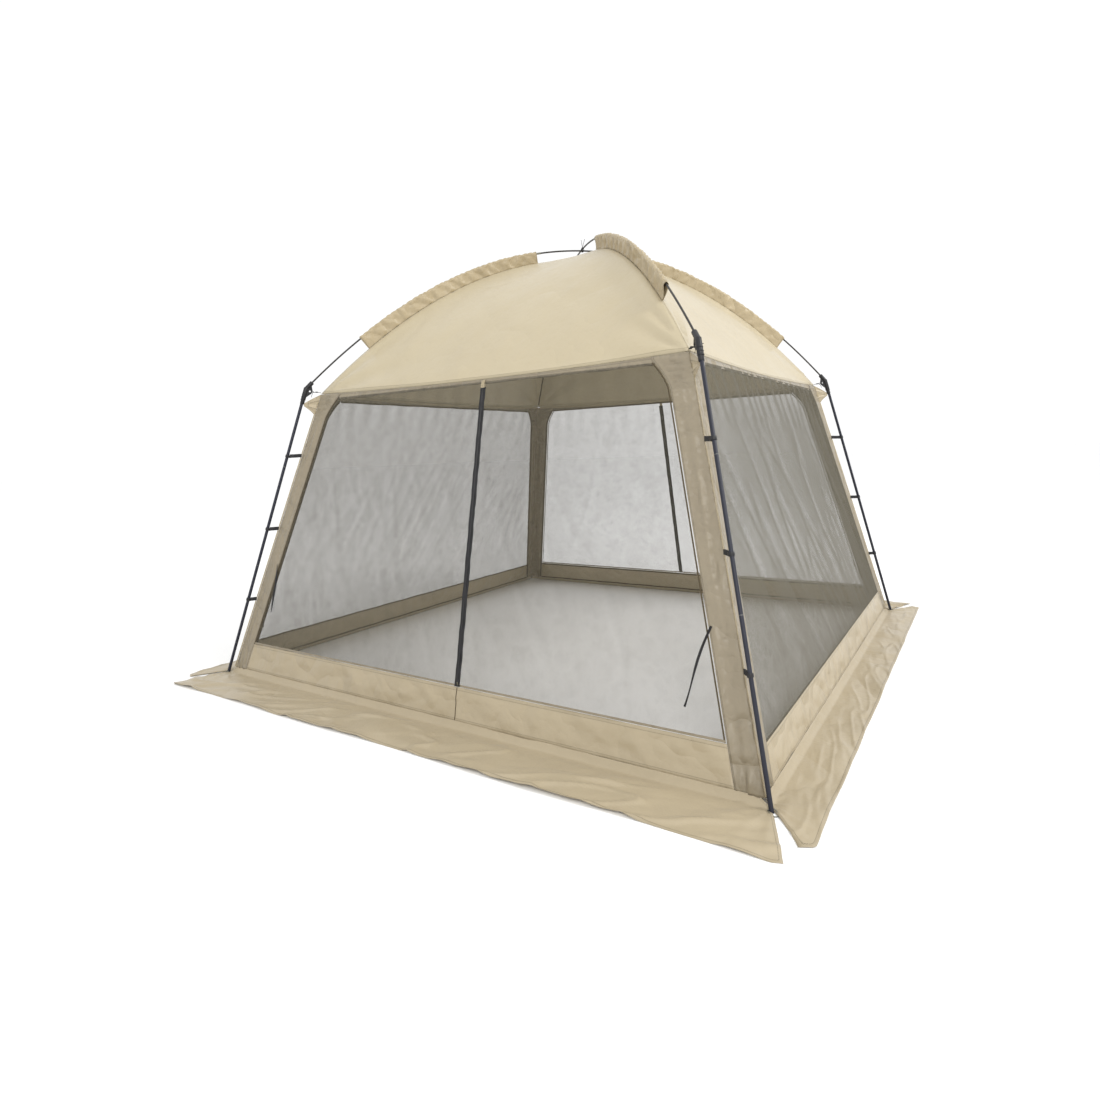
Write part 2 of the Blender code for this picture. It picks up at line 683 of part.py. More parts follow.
def corner_tab(turn):
    """The pointed tab of a corner panel that reaches out to the top of the leg."""
    low_z = WALL_TOP_Z - TAB_LOW
    tip_z = WALL_TOP_Z - TAB_TIP
    high_z = WALL_TOP_Z - TAB_BLUNT / 2.0
    leg = (FOOT_HALF - LEG_LEAN * tip_z) * ROOT2
    tip = leg - HUB_COLLAR_RADIUS / UP_LEG.z - STRAP_END_CLEARANCE
    outline = [
        Vector((corner_half(low_z) * ROOT2 - CLOTH, 0.0, low_z)),
        Vector((tip, 0.0, tip_z - TAB_BLUNT / 2.0)),
        Vector((tip, 0.0, tip_z + TAB_BLUNT / 2.0)),
        Vector((corner_half(high_z) * ROOT2 - CLOTH, 0.0, high_z)),
    ]
    item = helper("tab", plate("tab", outline, Vector((0.0, 1.0, 0.0)), CLOTH))
    item.rotation_euler = (0.0, 0.0, math.radians(turn))
    bpy.context.view_layer.update()
    return item


def build_side_walls():
    """Mesh and band of the two side walls, sewn in one."""
    for wall in ("right", "left"):
        outline = []
        for side in (1.0, -1.0):
            heights = (SEAM_Z, STRIP_FLARE_Z, WALL_TOP_Z)
            if side < 0.0:
                heights = tuple(reversed(heights))
            for z in heights:
                outline.append(on_wall(side * (strip_edge(z) - SEWN_GAP), z))
        mesh = plate("side_wall", outline, WALL_OUT, CLOTH)
        add_object("mesh_wall_" + wall, mesh, "mesh_cloth", WALLS[wall])


def build_bands():
    """Solid bands across the bottom of the front and back walls."""
    top = BAND_TOP_Z
    for wall in ("front", "back"):
        outline = [
            on_wall(strip_edge(SEAM_Z) - SEWN_GAP, SEAM_Z),
            on_wall(strip_edge(top) - SEWN_GAP, top),
            on_wall(-strip_edge(top) + SEWN_GAP, top),
            on_wall(-strip_edge(SEAM_Z) + SEWN_GAP, SEAM_Z),
        ]
        mesh = plate("band", outline, WALL_OUT, CLOTH)
        add_object("bottom_band_" + wall, mesh, "wall_cloth", WALLS[wall])


def hinge_point(side, z=BAND_TOP_Z):
    """A point on the line where a door half bends away from its corner strip."""
    return on_wall(side * (strip_edge(z) - HINGE_GAP / 2.0), z)


def zip_x(wall, z):
    """Where a wall's zip lies at a height, in the wall's own axes."""
    if wall == "back":
        return 0.0
    share = (z - BAND_TOP_Z) / (WALL_TOP_Z - BAND_TOP_Z)
    return FRONT_ZIP_FOOT + (FRONT_ZIP_TOP - FRONT_ZIP_FOOT) * share


def build_doors():
    """Four mesh door halves with their halves of the zip, and the two zip sliders."""
    low = BAND_TOP_Z + SILL_GAP
    for wall in ("front", "back"):
        for half, side in (("right", 1.0), ("left", -1.0)):
            local = side if wall == "front" else -side
            outline = [
                on_wall(zip_x(wall, low) + local * SEWN_GAP / 2.0, low),
                on_wall(local * (strip_edge(low) - HINGE_GAP), low),
                on_wall(local * (strip_edge(STRIP_FLARE_Z) - HINGE_GAP), STRIP_FLARE_Z),
                on_wall(local * (strip_edge(WALL_TOP_Z) - HINGE_GAP), WALL_TOP_Z),
                on_wall(zip_x(wall, WALL_TOP_Z) + local * SEWN_GAP / 2.0, WALL_TOP_Z),
            ]
            mesh = plate("door", outline, WALL_OUT, CLOTH)
            item = add_object("door_%s_%s" % (wall, half), mesh, "mesh_cloth", WALLS[wall])
            move_origin(item, hinge_point(local))
        build_slider(wall, low)


def build_slider(wall, low):
    """A zip slider on the outer face of the half that the hand pulls from."""
    wide, deep, tall = SLIDER_SIZE
    local = 1.0 if wall == "front" else -1.0
    height = low + tall / 2.0 + SLIDER_SILL
    start = on_wall(zip_x(wall, height) + local * (SEWN_GAP + wide) / 2.0, height)
    centre = start + WALL_OUT * (CLOTH / 2.0 + TOUCH + deep / 2.0)
    right = Vector((1.0, 0.0, 0.0))
    rings = []
    for rise, share in ((-0.5, 0.7), (-0.3, 1.0), (0.3, 1.0), (0.5, 0.6)):
        place = centre + WALL_UP * (tall * rise)
        corners = ((1.0, 1.0), (-1.0, 1.0), (-1.0, -1.0), (1.0, -1.0))
        rings.append([place + right * (a * wide * share / 2.0) + WALL_OUT * (b * deep / 2.0)
                      for a, b in corners])
    mesh = swept("zip_slider", rings)
    item = add_object("zip_slider_" + wall, mesh, "hub_plastic", WALLS[wall])
    move_origin(item, centre)


def build_skirts():
    """Four flaps that lie on the ground outside the walls."""
    for wall, turn in WALLS.items():
        along_y = wall in ("front", "back")
        reach = FOOT_HALF + (FRONT_SKIRT_FLAP if along_y else SIDE_SKIRT_FLAP)
        half = FOOT_HALF + (FRONT_SKIRT_SPREAD if along_y else SIDE_SKIRT_SPREAD)
        seam = WALL_FOOT_HALF + CLOTH + TOUCH
        start = WALL_FOOT_HALF - (FRONT_SKIRT_TUCK if along_y else SIDE_SKIRT_TUCK)
        fold = seam + SEAM_Z
        rows = (
            (seam, start - SKIRT_FLARE, SEAM_Z - SKIRT_SEAM_DROP),
            (fold, start + SKIRT_FLARE, SKIRT_CLOTH),
            (reach, half, SKIRT_CLOTH),
        )
        columns = 8
        top = []
        for out, wide, z in rows:
            for column in range(columns + 1):
                top.append(Vector((wide * (2.0 * column / columns - 1.0), -out, z)))
        drop = Vector((0.0, 0.0, -SKIRT_CLOTH))
        mesh = sheet_solid("skirt", top, len(rows) - 1, columns, drop)
        add_object("skirt_" + wall, mesh, "wall_cloth", turn)


# ---------------------------------------------------------------- ribbons
# Each ribbon's side of the cloth, side of the wall, top, distance from the strip's inner
# edge towards the corner, length and sideways drift.
RIBBON_ROUTES = {
    "tie_ribbon_front_right": ("outside", 1.0, 0.540, 0.012, 0.290, 0.075),
    "tie_ribbon_front_left": ("outside", -1.0, 0.600, 0.012, 0.260, 0.015),
    "tie_ribbon_front_left_inner": ("inside", -1.0, 0.420, 0.080, 0.180, 0.000),
}


def ribbon_path(place, side, top_z, inset, length, drift):
    """Points down a hanging ribbon: on the leaning wall outside, or plumb inside."""
    points = []
    steps = 18
    for step in range(steps + 1):
        share = step / steps
        bow = drift * share + RIBBON_BOW * math.sin(math.pi * share * 1.5)
        x = side * (strip_edge(top_z) + inset - bow)
        off = CLOTH / 2.0 + RIBBON_RADIUS + TOUCH + RIBBON_CLEARANCE
        if place == "outside":
            z = top_z - length * share * WALL_UP.z
            points.append(on_wall(x, z) + WALL_OUT * off)
        else:
            z = top_z - length * share
            back = off / WALL_OUT.y * -1.0
            points.append(Vector((x, -corner_half(top_z) + back, z)))
    return points


def build_ribbons():
    """Door ties that hang loose from the corner strips."""
    for name, route in RIBBON_ROUTES.items():
        add_object(name, wire(name, ribbon_path(*route), RIBBON_RADIUS, 2), "webbing")


def main():
    clear_scene()
    make_materials()
    build_legs()
    build_hubs()
    build_rods()
    build_apex_tie()
    build_clips()
    build_corner_straps()
    build_foot_rings()
    build_roof_gores()
    build_rod_sleeves()
    build_corner_panels()
    build_side_walls()
    build_bands()
    build_doors()
    build_skirts()
    build_ribbons()


main()
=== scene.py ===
"""Screen house: cloth, netting, trim and finishes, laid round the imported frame.

Metres, +Z up, -Y is the front.  Each operator makes one group of pieces.
"""

import math

import bmesh
import bpy
from mathutils import Matrix, Vector, noise


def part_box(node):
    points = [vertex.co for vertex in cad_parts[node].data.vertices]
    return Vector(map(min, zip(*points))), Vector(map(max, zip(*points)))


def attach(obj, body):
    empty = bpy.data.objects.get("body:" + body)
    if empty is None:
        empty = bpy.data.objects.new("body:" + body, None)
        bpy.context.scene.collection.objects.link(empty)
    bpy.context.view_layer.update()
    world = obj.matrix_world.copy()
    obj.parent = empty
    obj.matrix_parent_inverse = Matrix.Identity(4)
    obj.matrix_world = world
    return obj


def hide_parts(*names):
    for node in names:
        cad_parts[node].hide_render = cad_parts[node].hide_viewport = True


bl_info = {
    "name": "Screen House",
    "version": (1, 0, 0),
    "blender": (4, 5, 0),
    "location": "View3D > Sidebar > Screen House",
    "description": "Builds the cloth, netting and trim of a square screen house",
    "category": "Object",
}

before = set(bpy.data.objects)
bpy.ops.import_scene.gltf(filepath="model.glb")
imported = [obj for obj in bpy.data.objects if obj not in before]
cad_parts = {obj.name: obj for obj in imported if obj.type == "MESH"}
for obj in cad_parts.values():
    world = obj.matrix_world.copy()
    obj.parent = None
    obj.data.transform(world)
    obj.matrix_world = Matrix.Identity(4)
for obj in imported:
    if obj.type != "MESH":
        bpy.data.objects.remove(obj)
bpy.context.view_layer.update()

# ---------------------------------------------------------------- lines of the frame
ROOT2 = math.sqrt(2.0)
UP = Vector((0.0, 0.0, 1.0))
WALLS = {"front": 0.0, "right": 90.0, "back": 180.0, "left": 270.0}
CORNERS = {"front_right": -45.0, "back_right": 45.0, "back_left": 135.0, "front_left": 225.0}


def frame_lines():
    """The frame's straight and curved lines, read from the boxes of its pieces."""
    wall_low, wall_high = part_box("mesh_wall_right")
    gore_low, gore_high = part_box("roof_gore_front")
    band_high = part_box("bottom_band_front")[1]
    leg_low, leg_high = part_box("leg_front_right")
    upper_low, upper_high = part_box("arch_rod_upper")
    lower_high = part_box("arch_rod_lower")[1]
    lines = {
        "seam_z": wall_low[2],
        "wall_top_z": wall_high[2],
        "wall_foot": wall_high[0],
        "band_top": band_high[2],
        "roof_half": -gore_low[1],
        "roof_apex": gore_high[2],
        "eave_z": gore_low[2],
    }
    lines["lean"] = (wall_high[0] - wall_low[0]) / (wall_high[2] - wall_low[2])
    lines["corner_z"] = lines["seam_z"] + (lines["wall_foot"] - lines["roof_half"]) / lines["lean"]
    lines["leg_low"] = leg_high[0]
    lines["leg_high"] = leg_low[0]
    lines["leg_top"] = leg_high[2]
    lines["rod_upper"] = upper_high[2]
    lines["rod_lower"] = lower_high[2]
    lines["rod_end"] = upper_high[0]
    lines["rod_end_z"] = upper_low[2]
    return lines


LINE = frame_lines()
LEG_RADIUS = 0.008
ROD_RADIUS = 0.0045
SKIN = 0.0001                 # how far a finished tube stays inside its solid
CLIP_HEIGHTS = (0.407, 0.793, 1.187)
LEG_JOINS = (0.5955, 1.13)
ELBOW_FOOT_Z = 1.463
FERRULE_REACH = (0.245, 0.285)
FRONT_ZIP_FOOT, FRONT_ZIP_TOP = 0.140, 0.080
SEAM_BACK = -0.0042           # dark tapes lie behind the wall cloth
DOOR_GAP = 0.0140             # from the zip's line to the free edge of a door's netting
PEAK_SHARE = 0.006            # share of a roof panel left open at its point

# Depths of folds and slack in the cloth
ROOF_SLACK, ROOF_PULL, ROOF_BROAD, ROOF_FINE, ROOF_PUCKER = 0.016, 0.0060, 0.0100, 0.0022, 0.0016
STRIP_GATHER, STRIP_FOLD, STRIP_PUCKER, STRIP_FINE = 0.0060, 0.0085, 0.0032, 0.0008
BAND_FOLD, BAND_FINE, BAND_CREASE = 0.0085, 0.0034, 0.0085
NET_BILLOW, NET_FOLD, NET_GATHER, NET_CREASE = 0.010, 0.0060, 0.0042, 0.0065
SKIRT_RIDGE, SKIRT_PUCKER, SKIRT_SLANT, SKIRT_FINE, SKIRT_EDGE = 0.0100, 0.0060, 0.0075, 0.0022, 0.0045
SLEEVE_EASE, SLEEVE_GATHER_DEPTH, SLEEVE_CREASE, SLEEVE_SWAY = 0.0050, 0.0026, 0.0017, 0.0042
FOOT_HALF = LINE["leg_low"] - LEG_RADIUS
LEG_LEAN = (LINE["leg_low"] - LINE["leg_high"] - 2.0 * LEG_RADIUS) / LINE["leg_top"]
UP_LEG = Vector((-LEG_LEAN * ROOT2, 0.0, 1.0)).normalized()
WALL_UP = Vector((0.0, LINE["lean"], 1.0)).normalized()
WALL_OUT = Vector((0.0, -1.0, LINE["lean"])).normalized()
ROD_APEX = {"upper": LINE["rod_upper"] - ROD_RADIUS, "lower": LINE["rod_lower"] - ROD_RADIUS}
ROD_END = Vector((LINE["rod_end"] * ROOT2 - ROD_RADIUS, 0.0, LINE["rod_end_z"] + ROD_RADIUS * 0.7))


def corner_half(z):
    """Half the distance between the corner seams at a height."""
    return LINE["wall_foot"] - LINE["lean"] * (z - LINE["seam_z"])


def strip_edge(z, sizes):
    """Inner edge of a corner strip along its wall at a height."""
    width = sizes.strip_width
    if z > sizes.strip_flare_z:
        rise = (z - sizes.strip_flare_z) / (LINE["wall_top_z"] - sizes.strip_flare_z)
        width += (sizes.strip_top_width - sizes.strip_width) * min(rise, 1.1) ** 1.6
    return corner_half(z) - width


def ridge_z(reach):
    """Height of a ridge seam at a distance from the centre line."""
    share = reach / (LINE["roof_half"] * ROOT2)
    return LINE["roof_apex"] - (LINE["roof_apex"] - LINE["corner_z"]) * share * share


def eave_height(x):
    """Height of a roof edge, which sags between its corners."""
    place = min(abs(x) / LINE["roof_half"], 1.0)
    return LINE["corner_z"] - (LINE["corner_z"] - LINE["eave_z"]) * (1.0 - place * place)


def rod_point(reach, which):
    """A point on an arch rod's axis in its own upright plane."""
    apex = ROD_APEX[which]
    share = reach / ROD_END.x
    return Vector((reach, 0.0, apex - (apex - ROD_END.z) * share * share))


def turn_matrix(degrees):
    """A turn about the upright axis."""
    return Matrix.Rotation(math.radians(degrees), 3, "Z")


def wander(point, scale, seed):
    """Smooth noise from -1 to 1 at a point."""
    return noise.noise(Vector(point) * scale + Vector((seed * 7.31, seed * 3.17, seed * 1.73)))


def smooth_step(value, low, high):
    """0 below low, 1 above high, and a soft rise between them."""
    share = min(max((value - low) / (high - low), 0.0), 1.0)
    return share * share * (3.0 - 2.0 * share)


def shares(steps):
    """Even shares of a run, from 0 to 1."""
    return [step / steps for step in range(steps + 1)]


def grid(columns, rows, place):
    """The points of a grid, row by row; place gives the point at two shares."""
    return [place(u, v) for v in shares(rows) for u in shares(columns)]


def belong(pieces, body):
    """Let pieces move with a body."""
    for piece in pieces:
        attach(piece, body)


# ---------------------------------------------------------------- settings
class ShelterSizes(bpy.types.PropertyGroup):
    """Sizes a user would change."""
    strip_width: bpy.props.FloatProperty(
        name="Corner Strip Width", description="Width of a corner strip on each wall",
        default=0.100, unit="LENGTH")
    strip_top_width: bpy.props.FloatProperty(
        name="Strip Top Width", description="Width of a corner strip at the roof",
        default=0.150, unit="LENGTH")
    strip_flare_z: bpy.props.FloatProperty(
        name="Strip Flare Height", description="Height where a corner strip begins to widen",
        default=1.375, unit="LENGTH")
    cloth: bpy.props.FloatProperty(
        name="Cloth", description="Thickness of the coated cloth", default=0.0008, unit="LENGTH")
    zip_tape: bpy.props.FloatProperty(
        name="Zip Tape", description="Width of each side of a zip", default=0.014, unit="LENGTH")
    binding: bpy.props.FloatProperty(
        name="Binding", description="Width of the dark seam binding inside", default=0.009,
        unit="LENGTH")
    roof_folds: bpy.props.FloatProperty(
        name="Roof Folds", description="Depth of the pull folds at the roof's corners",
        default=0.0110, unit="LENGTH")
    skirt_waves: bpy.props.FloatProperty(
        name="Skirt Waves", description="Height of the waves along the ground skirts",
        default=0.020, unit="LENGTH")
    camera_lens: bpy.props.FloatProperty(
        name="Lens", description="Focal length of the camera in millimetres", default=21.95)


def colour(name, text, value):
    """A colour setting."""
    return bpy.props.FloatVectorProperty(
        name=name, description=text, default=value, size=3, subtype="COLOR", min=0.0, max=1.0)


class ShelterColours(bpy.types.PropertyGroup):
    """Colours a user would change, in linear light."""
    roof: colour("Roof", "Cream khaki of the roof cloth", (0.490, 0.425, 0.292))
    roof_shade: colour("Roof Shade", "Darker tone of the roof cloth", (0.420, 0.355, 0.232))
    trim: colour("Sleeve", "Tan of the rod sleeves", (0.430, 0.355, 0.225))
    trim_shade: colour("Sleeve Shade", "Darker tan in the sleeves' gathers", (0.320, 0.255, 0.155))
    wall: colour("Wall Cloth", "Beige of bands, strips and skirts", (0.440, 0.372, 0.256))
    wall_shade: colour("Wall Shade", "Darker beige of the wall cloth", (0.360, 0.298, 0.198))
    # Strip Cloth and Strip Shade are a darker, greyer copy of the wall cloth: painted shade on the corner
    # strips, the strips under the roof's edge and the door sills.
    strip: colour("Strip Cloth", "Grey beige of the corner strips", (0.292, 0.249, 0.177))
    strip_shade: colour("Strip Shade", "Darker grey beige of the strips", (0.228, 0.190, 0.132))
    piping: colour("Piping", "Light cream of the corner piping", (0.600, 0.500, 0.320))
    netting: colour("Netting", "Grey of the insect netting", (0.116, 0.106, 0.080))
    binding: colour("Binding", "Dark brown of the seam binding", (0.060, 0.045, 0.024))
    steel: colour("Leg Paint", "Blue-black of the leg tubes", (0.014, 0.016, 0.028))
    plastic: colour("Plastic", "Black of the moulded pieces", (0.016, 0.016, 0.018))
    webbing: colour("Webbing", "Black of the woven tapes", (0.012, 0.012, 0.013))
    ring: colour("Ring Metal", "Dull olive grey of the plated wire", (0.240, 0.240, 0.205))


# ---------------------------------------------------------------- finishes
def new_group(name, inputs, outputs):
    """A node group with named sockets."""
    group = bpy.data.node_groups.new(name, "ShaderNodeTree")
    kinds = {"vector": "NodeSocketVector", "value": "NodeSocketFloat", "colour": "NodeSocketColor"}
    for label, kind, default in inputs:
        socket = group.interface.new_socket(label, in_out="INPUT", socket_type=kinds[kind])
        if default is not None:
            socket.default_value = default
    for label, kind in outputs:
        group.interface.new_socket(label, in_out="OUTPUT", socket_type=kinds[kind])
    start = group.nodes.new("NodeGroupInput")
    end = group.nodes.new("NodeGroupOutput")
    return group, start, end


def add_math(tree, operation, first, second=None, clamp=False):
    """A Math node fed by sockets or plain numbers."""
    node = tree.nodes.new("ShaderNodeMath")
    node.operation = operation
    node.use_clamp = clamp
    for index, value in enumerate((first, second)):
        if value is None:
            continue
        if isinstance(value, (int, float)):
            node.inputs[index].default_value = value
        else:
            tree.links.new(value, node.inputs[index])
    return node.outputs[0]


def add_noise(tree, vector, scale, detail=3.0, roughness=0.5):
    """A Noise Texture node at a plain or linked scale."""
    node = tree.nodes.new("ShaderNodeTexNoise")
    node.inputs["Detail"].default_value = detail
    node.inputs["Roughness"].default_value = roughness
    tree.links.new(vector, node.inputs["Vector"])
    if isinstance(scale, (int, float)):
        node.inputs["Scale"].default_value = scale
    else:
        tree.links.new(scale, node.inputs["Scale"])
    return node.outputs["Fac"]


def add_mix(tree, factor, first, second, blend="MIX"):
    """A colour mix of two sockets or plain colours."""
    node = tree.nodes.new("ShaderNodeMix")
    node.data_type = "RGBA"
    node.blend_type = blend
    for index, value in ((0, factor), (6, first), (7, second)):
        if hasattr(value, "is_linked"):
            tree.links.new(value, node.inputs[index])
        elif index == 0:
            node.inputs[index].default_value = value
        else:
            node.inputs[index].default_value = (*value, 1.0)
    return node.outputs[2]


def weave_group():
    """Plain weave: two crossing sets of threads along the cloth's own axes."""
    group, start, end = new_group(
        "Plain Weave",
        [("Cloth", "vector", None), ("Threads", "value", 1400.0)],
        [("Height", "value"), ("Gap", "value")])
    split = group.nodes.new("ShaderNodeSeparateXYZ")
    group.links.new(start.outputs["Cloth"], split.inputs[0])
    waves = []
    for axis in (0, 1):
        turns = add_math(group, "MULTIPLY", split.outputs[axis], start.outputs["Threads"])
        waves.append(add_math(group, "SINE", turns))
    crossed = add_math(group, "MULTIPLY", waves[0], waves[1])
    group.links.new(crossed, end.inputs["Height"])
    rims = [add_math(group, "ABSOLUTE", wave) for wave in waves]
    gap = add_math(group, "MINIMUM", rims[0], rims[1])
    group.links.new(gap, end.inputs["Gap"])
    return group


def tone_group():
    """Two tones of one cloth, mixed by soft blotches and fine creases."""
    group, start, end = new_group(
        "Cloth Tone",
        [("Place", "vector", None), ("Light", "colour", None), ("Dark", "colour", None),
         ("Blotch Size", "value", 2.5), ("Crease Size", "value", 26.0)],
        [("Colour", "colour"), ("Roughness", "value"), ("Crease", "value")])
    blotch = add_noise(group, start.outputs["Place"], start.outputs["Blotch Size"], 4.0, 0.55)
    crease = add_noise(group, start.outputs["Place"], start.outputs["Crease Size"], 5.0, 0.6)
    ridged = add_math(group, "ABSOLUTE", add_math(group, "SUBTRACT", crease, 0.5))
    both = add_math(group, "ADD", add_math(group, "MULTIPLY", blotch, 0.75),
                    add_math(group, "MULTIPLY", ridged, 0.6))
    factor = add_math(group, "SUBTRACT", both, 0.12, clamp=True)
    group.links.new(add_mix(group, factor, start.outputs["Light"], start.outputs["Dark"]),
                    end.inputs["Colour"])
    rough = add_math(group, "ADD", add_math(group, "MULTIPLY", blotch, 0.16), 0.27)
    group.links.new(rough, end.inputs["Roughness"])
    group.links.new(ridged, end.inputs["Crease"])
    return group


def stitch_group():
    """A hem: a fold to be painted darker as painted shade, and a dashed line of stitches at a distance from
    the edge.
    """
    group, start, end = new_group(
        "Hem Stitching",
        [("Edge", "value", 1.0), ("Cloth", "vector", None), ("Hem Width", "value", 0.012)],
        [("Fold", "value"), ("Stitch", "value")])
    fold = add_math(group, "LESS_THAN", start.outputs["Edge"], start.outputs["Hem Width"])
    group.links.new(fold, end.inputs["Fold"])
    off = add_math(group, "SUBTRACT", start.outputs["Edge"], start.outputs["Hem Width"])
    line = add_math(group, "LESS_THAN", add_math(group, "ABSOLUTE", off), 0.0009)
    split = group.nodes.new("ShaderNodeSeparateXYZ")
    group.links.new(start.outputs["Cloth"], split.inputs[0])
    run = add_math(group, "ADD", split.outputs[0], split.outputs[1])
    wave = add_math(group, "SINE", add_math(group, "MULTIPLY", run, 1500.0))
    dash = add_math(group, "GREATER_THAN", wave, -0.3)
    group.links.new(add_math(group, "MULTIPLY", line, dash), end.inputs["Stitch"])
    return group


def grain_group():
    """Fine grain, scuffs and settled dust for hard pieces."""
    group, start, end = new_group(
        "Grain and Scuffs",
        [("Place", "vector", None), ("Grain", "value", 900.0), ("Scuff", "value", 30.0)],
        [("Height", "value"), ("Scuffs", "value"), ("Dust", "value")])
    fine = add_noise(group, start.outputs["Place"], start.outputs["Grain"], 2.0)
    group.links.new(fine, end.inputs["Height"])
    scuff = add_noise(group, start.outputs["Place"], start.outputs["Scuff"], 6.0, 0.7)
    sharp = add_math(group, "MULTIPLY", add_math(group, "SUBTRACT", scuff, 0.55), 5.0, clamp=True)
    group.links.new(sharp, end.inputs["Scuffs"])
    geometry = group.nodes.new("ShaderNodeNewGeometry")
    split = group.nodes.new("ShaderNodeSeparateXYZ")
    group.links.new(geometry.outputs["Normal"], split.inputs[0])
    top = add_math(group, "MULTIPLY", split.outputs[2], scuff, clamp=True)
    group.links.new(top, end.inputs["Dust"])
    return group


def place_group(tree, name, links):
    """A group node with some inputs set or linked."""
    node = tree.nodes.new("ShaderNodeGroup")
    node.node_tree = bpy.data.node_groups[name]
    for label, value in links.items():
        if hasattr(value, "is_linked"):
            tree.links.new(value, node.inputs[label])
        elif hasattr(value, "__len__"):
            node.inputs[label].default_value = (*value, 1.0)
        else:
            node.inputs[label].default_value = value
    return node


def start_material(name):
    """A new node material, its shader and its Texture Coordinate node."""
    material = bpy.data.materials.new(name)
    material.use_nodes = True
    tree = material.node_tree
    shader = tree.nodes["Principled BSDF"]
    where = tree.nodes.new("ShaderNodeTexCoord")
    return material, tree, shader, where


def add_bump(tree, shader, height, strength, distance, normal=None):
    """A Bump node into the shader, laid over an earlier one."""
    bump = tree.nodes.new("ShaderNodeBump")
    bump.inputs["Strength"].default_value = strength
    bump.inputs["Distance"].default_value = distance
    tree.links.new(height, bump.inputs["Height"])
    if normal is not None:
        tree.links.new(normal, bump.inputs["Normal"])
    tree.links.new(bump.outputs["Normal"], shader.inputs["Normal"])
    return bump.outputs["Normal"]


def cloth_material(name, light, dark, sheen, threads=2600.0, crease=26.0, hem=0.012,
                   fold_size=6.0, folds=0.75, rumples=0.55):
    """Coated cloth: two tones, a hem painted darker as painted shade, stitches, weave, folds and fine
    creases.
    """
    material, tree, shader, where = start_material(name)
    shader.inputs["Sheen Weight"].default_value = sheen
    shader.inputs["Sheen Roughness"].default_value = 0.4
    shader.inputs["Specular IOR Level"].default_value = 0.40
    place = where.outputs["Object"]
    tone = place_group(tree, "Cloth Tone", {"Place": place, "Light": light, "Dark": dark,
                                            "Crease Size": crease})
    edge = tree.nodes.new("ShaderNodeAttribute")
    edge.attribute_name = "edge"
    hems = place_group(tree, "Hem Stitching", {"Edge": edge.outputs["Fac"],
                                               "Cloth": where.outputs["UV"], "Hem Width": hem})
    painted_hem_shade = [value * 0.72 for value in dark]
    thread = [value * 0.45 for value in dark]
    # The hem band is painted darker along its fold: painted shade.
    shade = add_math(tree, "MULTIPLY", hems.outputs["Fold"], 0.22)
    base = add_mix(tree, shade, tone.outputs["Colour"], painted_hem_shade)
    base = add_mix(tree, hems.outputs["Stitch"], base, thread)
    tree.links.new(base, shader.inputs["Base Color"])
    tree.links.new(tone.outputs["Roughness"], shader.inputs["Roughness"])
    weave = place_group(tree, "Plain Weave", {"Cloth": where.outputs["UV"], "Threads": threads})
    facets, small = [
        add_math(tree, "ABSOLUTE", add_math(tree, "SUBTRACT", add_noise(tree, place, *scale), 0.5))
        for scale in ((fold_size, 1.6, 0.45), (fold_size * 3.1, 1.2, 0.4))]
    broad = add_bump(tree, shader, facets, folds, 0.090)
    second = add_bump(tree, shader, small, rumples, 0.030, broad)
    first = add_bump(tree, shader, tone.outputs["Crease"], 0.35, 0.008, second)
    add_bump(tree, shader, weave.outputs["Height"], 0.12, 0.0002, first)
    return material


def netting_material(colours):
    """Fine insect netting: light threads, mostly open."""
    material, tree, shader, where = start_material("insect_netting")
    tone = place_group(tree, "Cloth Tone", {
        "Place": where.outputs["Object"], "Light": list(colours.netting),
        "Dark": [value * 0.86 for value in colours.netting], "Blotch Size": 3.0, "Crease Size": 12.0})
    tree.links.new(tone.outputs["Colour"], shader.inputs["Base Color"])
    shader.inputs["Roughness"].default_value = 0.8
    shader.inputs["Specular IOR Level"].default_value = 0.2
    weave = place_group(tree, "Plain Weave", {"Cloth": where.outputs["UV"], "Threads": 2100.0})
    threads = add_math(tree, "SUBTRACT", 1.0, weave.outputs["Gap"], clamp=True)
    solid = add_math(tree, "MULTIPLY", threads, 0.30)
    creased = add_math(tree, "MULTIPLY", tone.outputs["Crease"], 0.32)
    facing = tree.nodes.new("ShaderNodeLayerWeight")
    facing.inputs["Blend"].default_value = 0.5
    slant = add_math(tree, "MULTIPLY", facing.outputs["Facing"], 0.80)
    alpha = add_math(tree, "ADD", add_math(tree, "ADD", solid, creased), 0.02)
    alpha = add_math(tree, "ADD", alpha, slant, clamp=True)
    tree.links.new(alpha, shader.inputs["Alpha"])
    add_bump(tree, shader, tone.outputs["Crease"], 0.3, 0.004)
    return material


def hard_material(name, base, scuffed, roughness, metallic, grain=900.0, scuff=30.0):
    """Paint, plastic or metal with fine grain, scuffs and a little dust."""
    material, tree, shader, where = start_material(name)
    shader.inputs["Metallic"].default_value = metallic
    shader.inputs["Specular IOR Level"].default_value = 0.35
    parts = place_group(tree, "Grain and Scuffs", {"Place": where.outputs["Object"],
                                                   "Grain": grain, "Scuff": scuff})
    worn = add_mix(tree, parts.outputs["Scuffs"], list(base), list(scuffed))
    dust = add_math(tree, "MULTIPLY", parts.outputs["Dust"], 0.03)
    tree.links.new(add_mix(tree, dust, worn, (0.35, 0.32, 0.26)), shader.inputs["Base Color"])
    rough = add_math(tree, "MULTIPLY", parts.outputs["Scuffs"], 0.18)
    tree.links.new(add_math(tree, "ADD", rough, roughness), shader.inputs["Roughness"])
    add_bump(tree, shader, parts.outputs["Height"], 0.10, 0.0003)
    return material


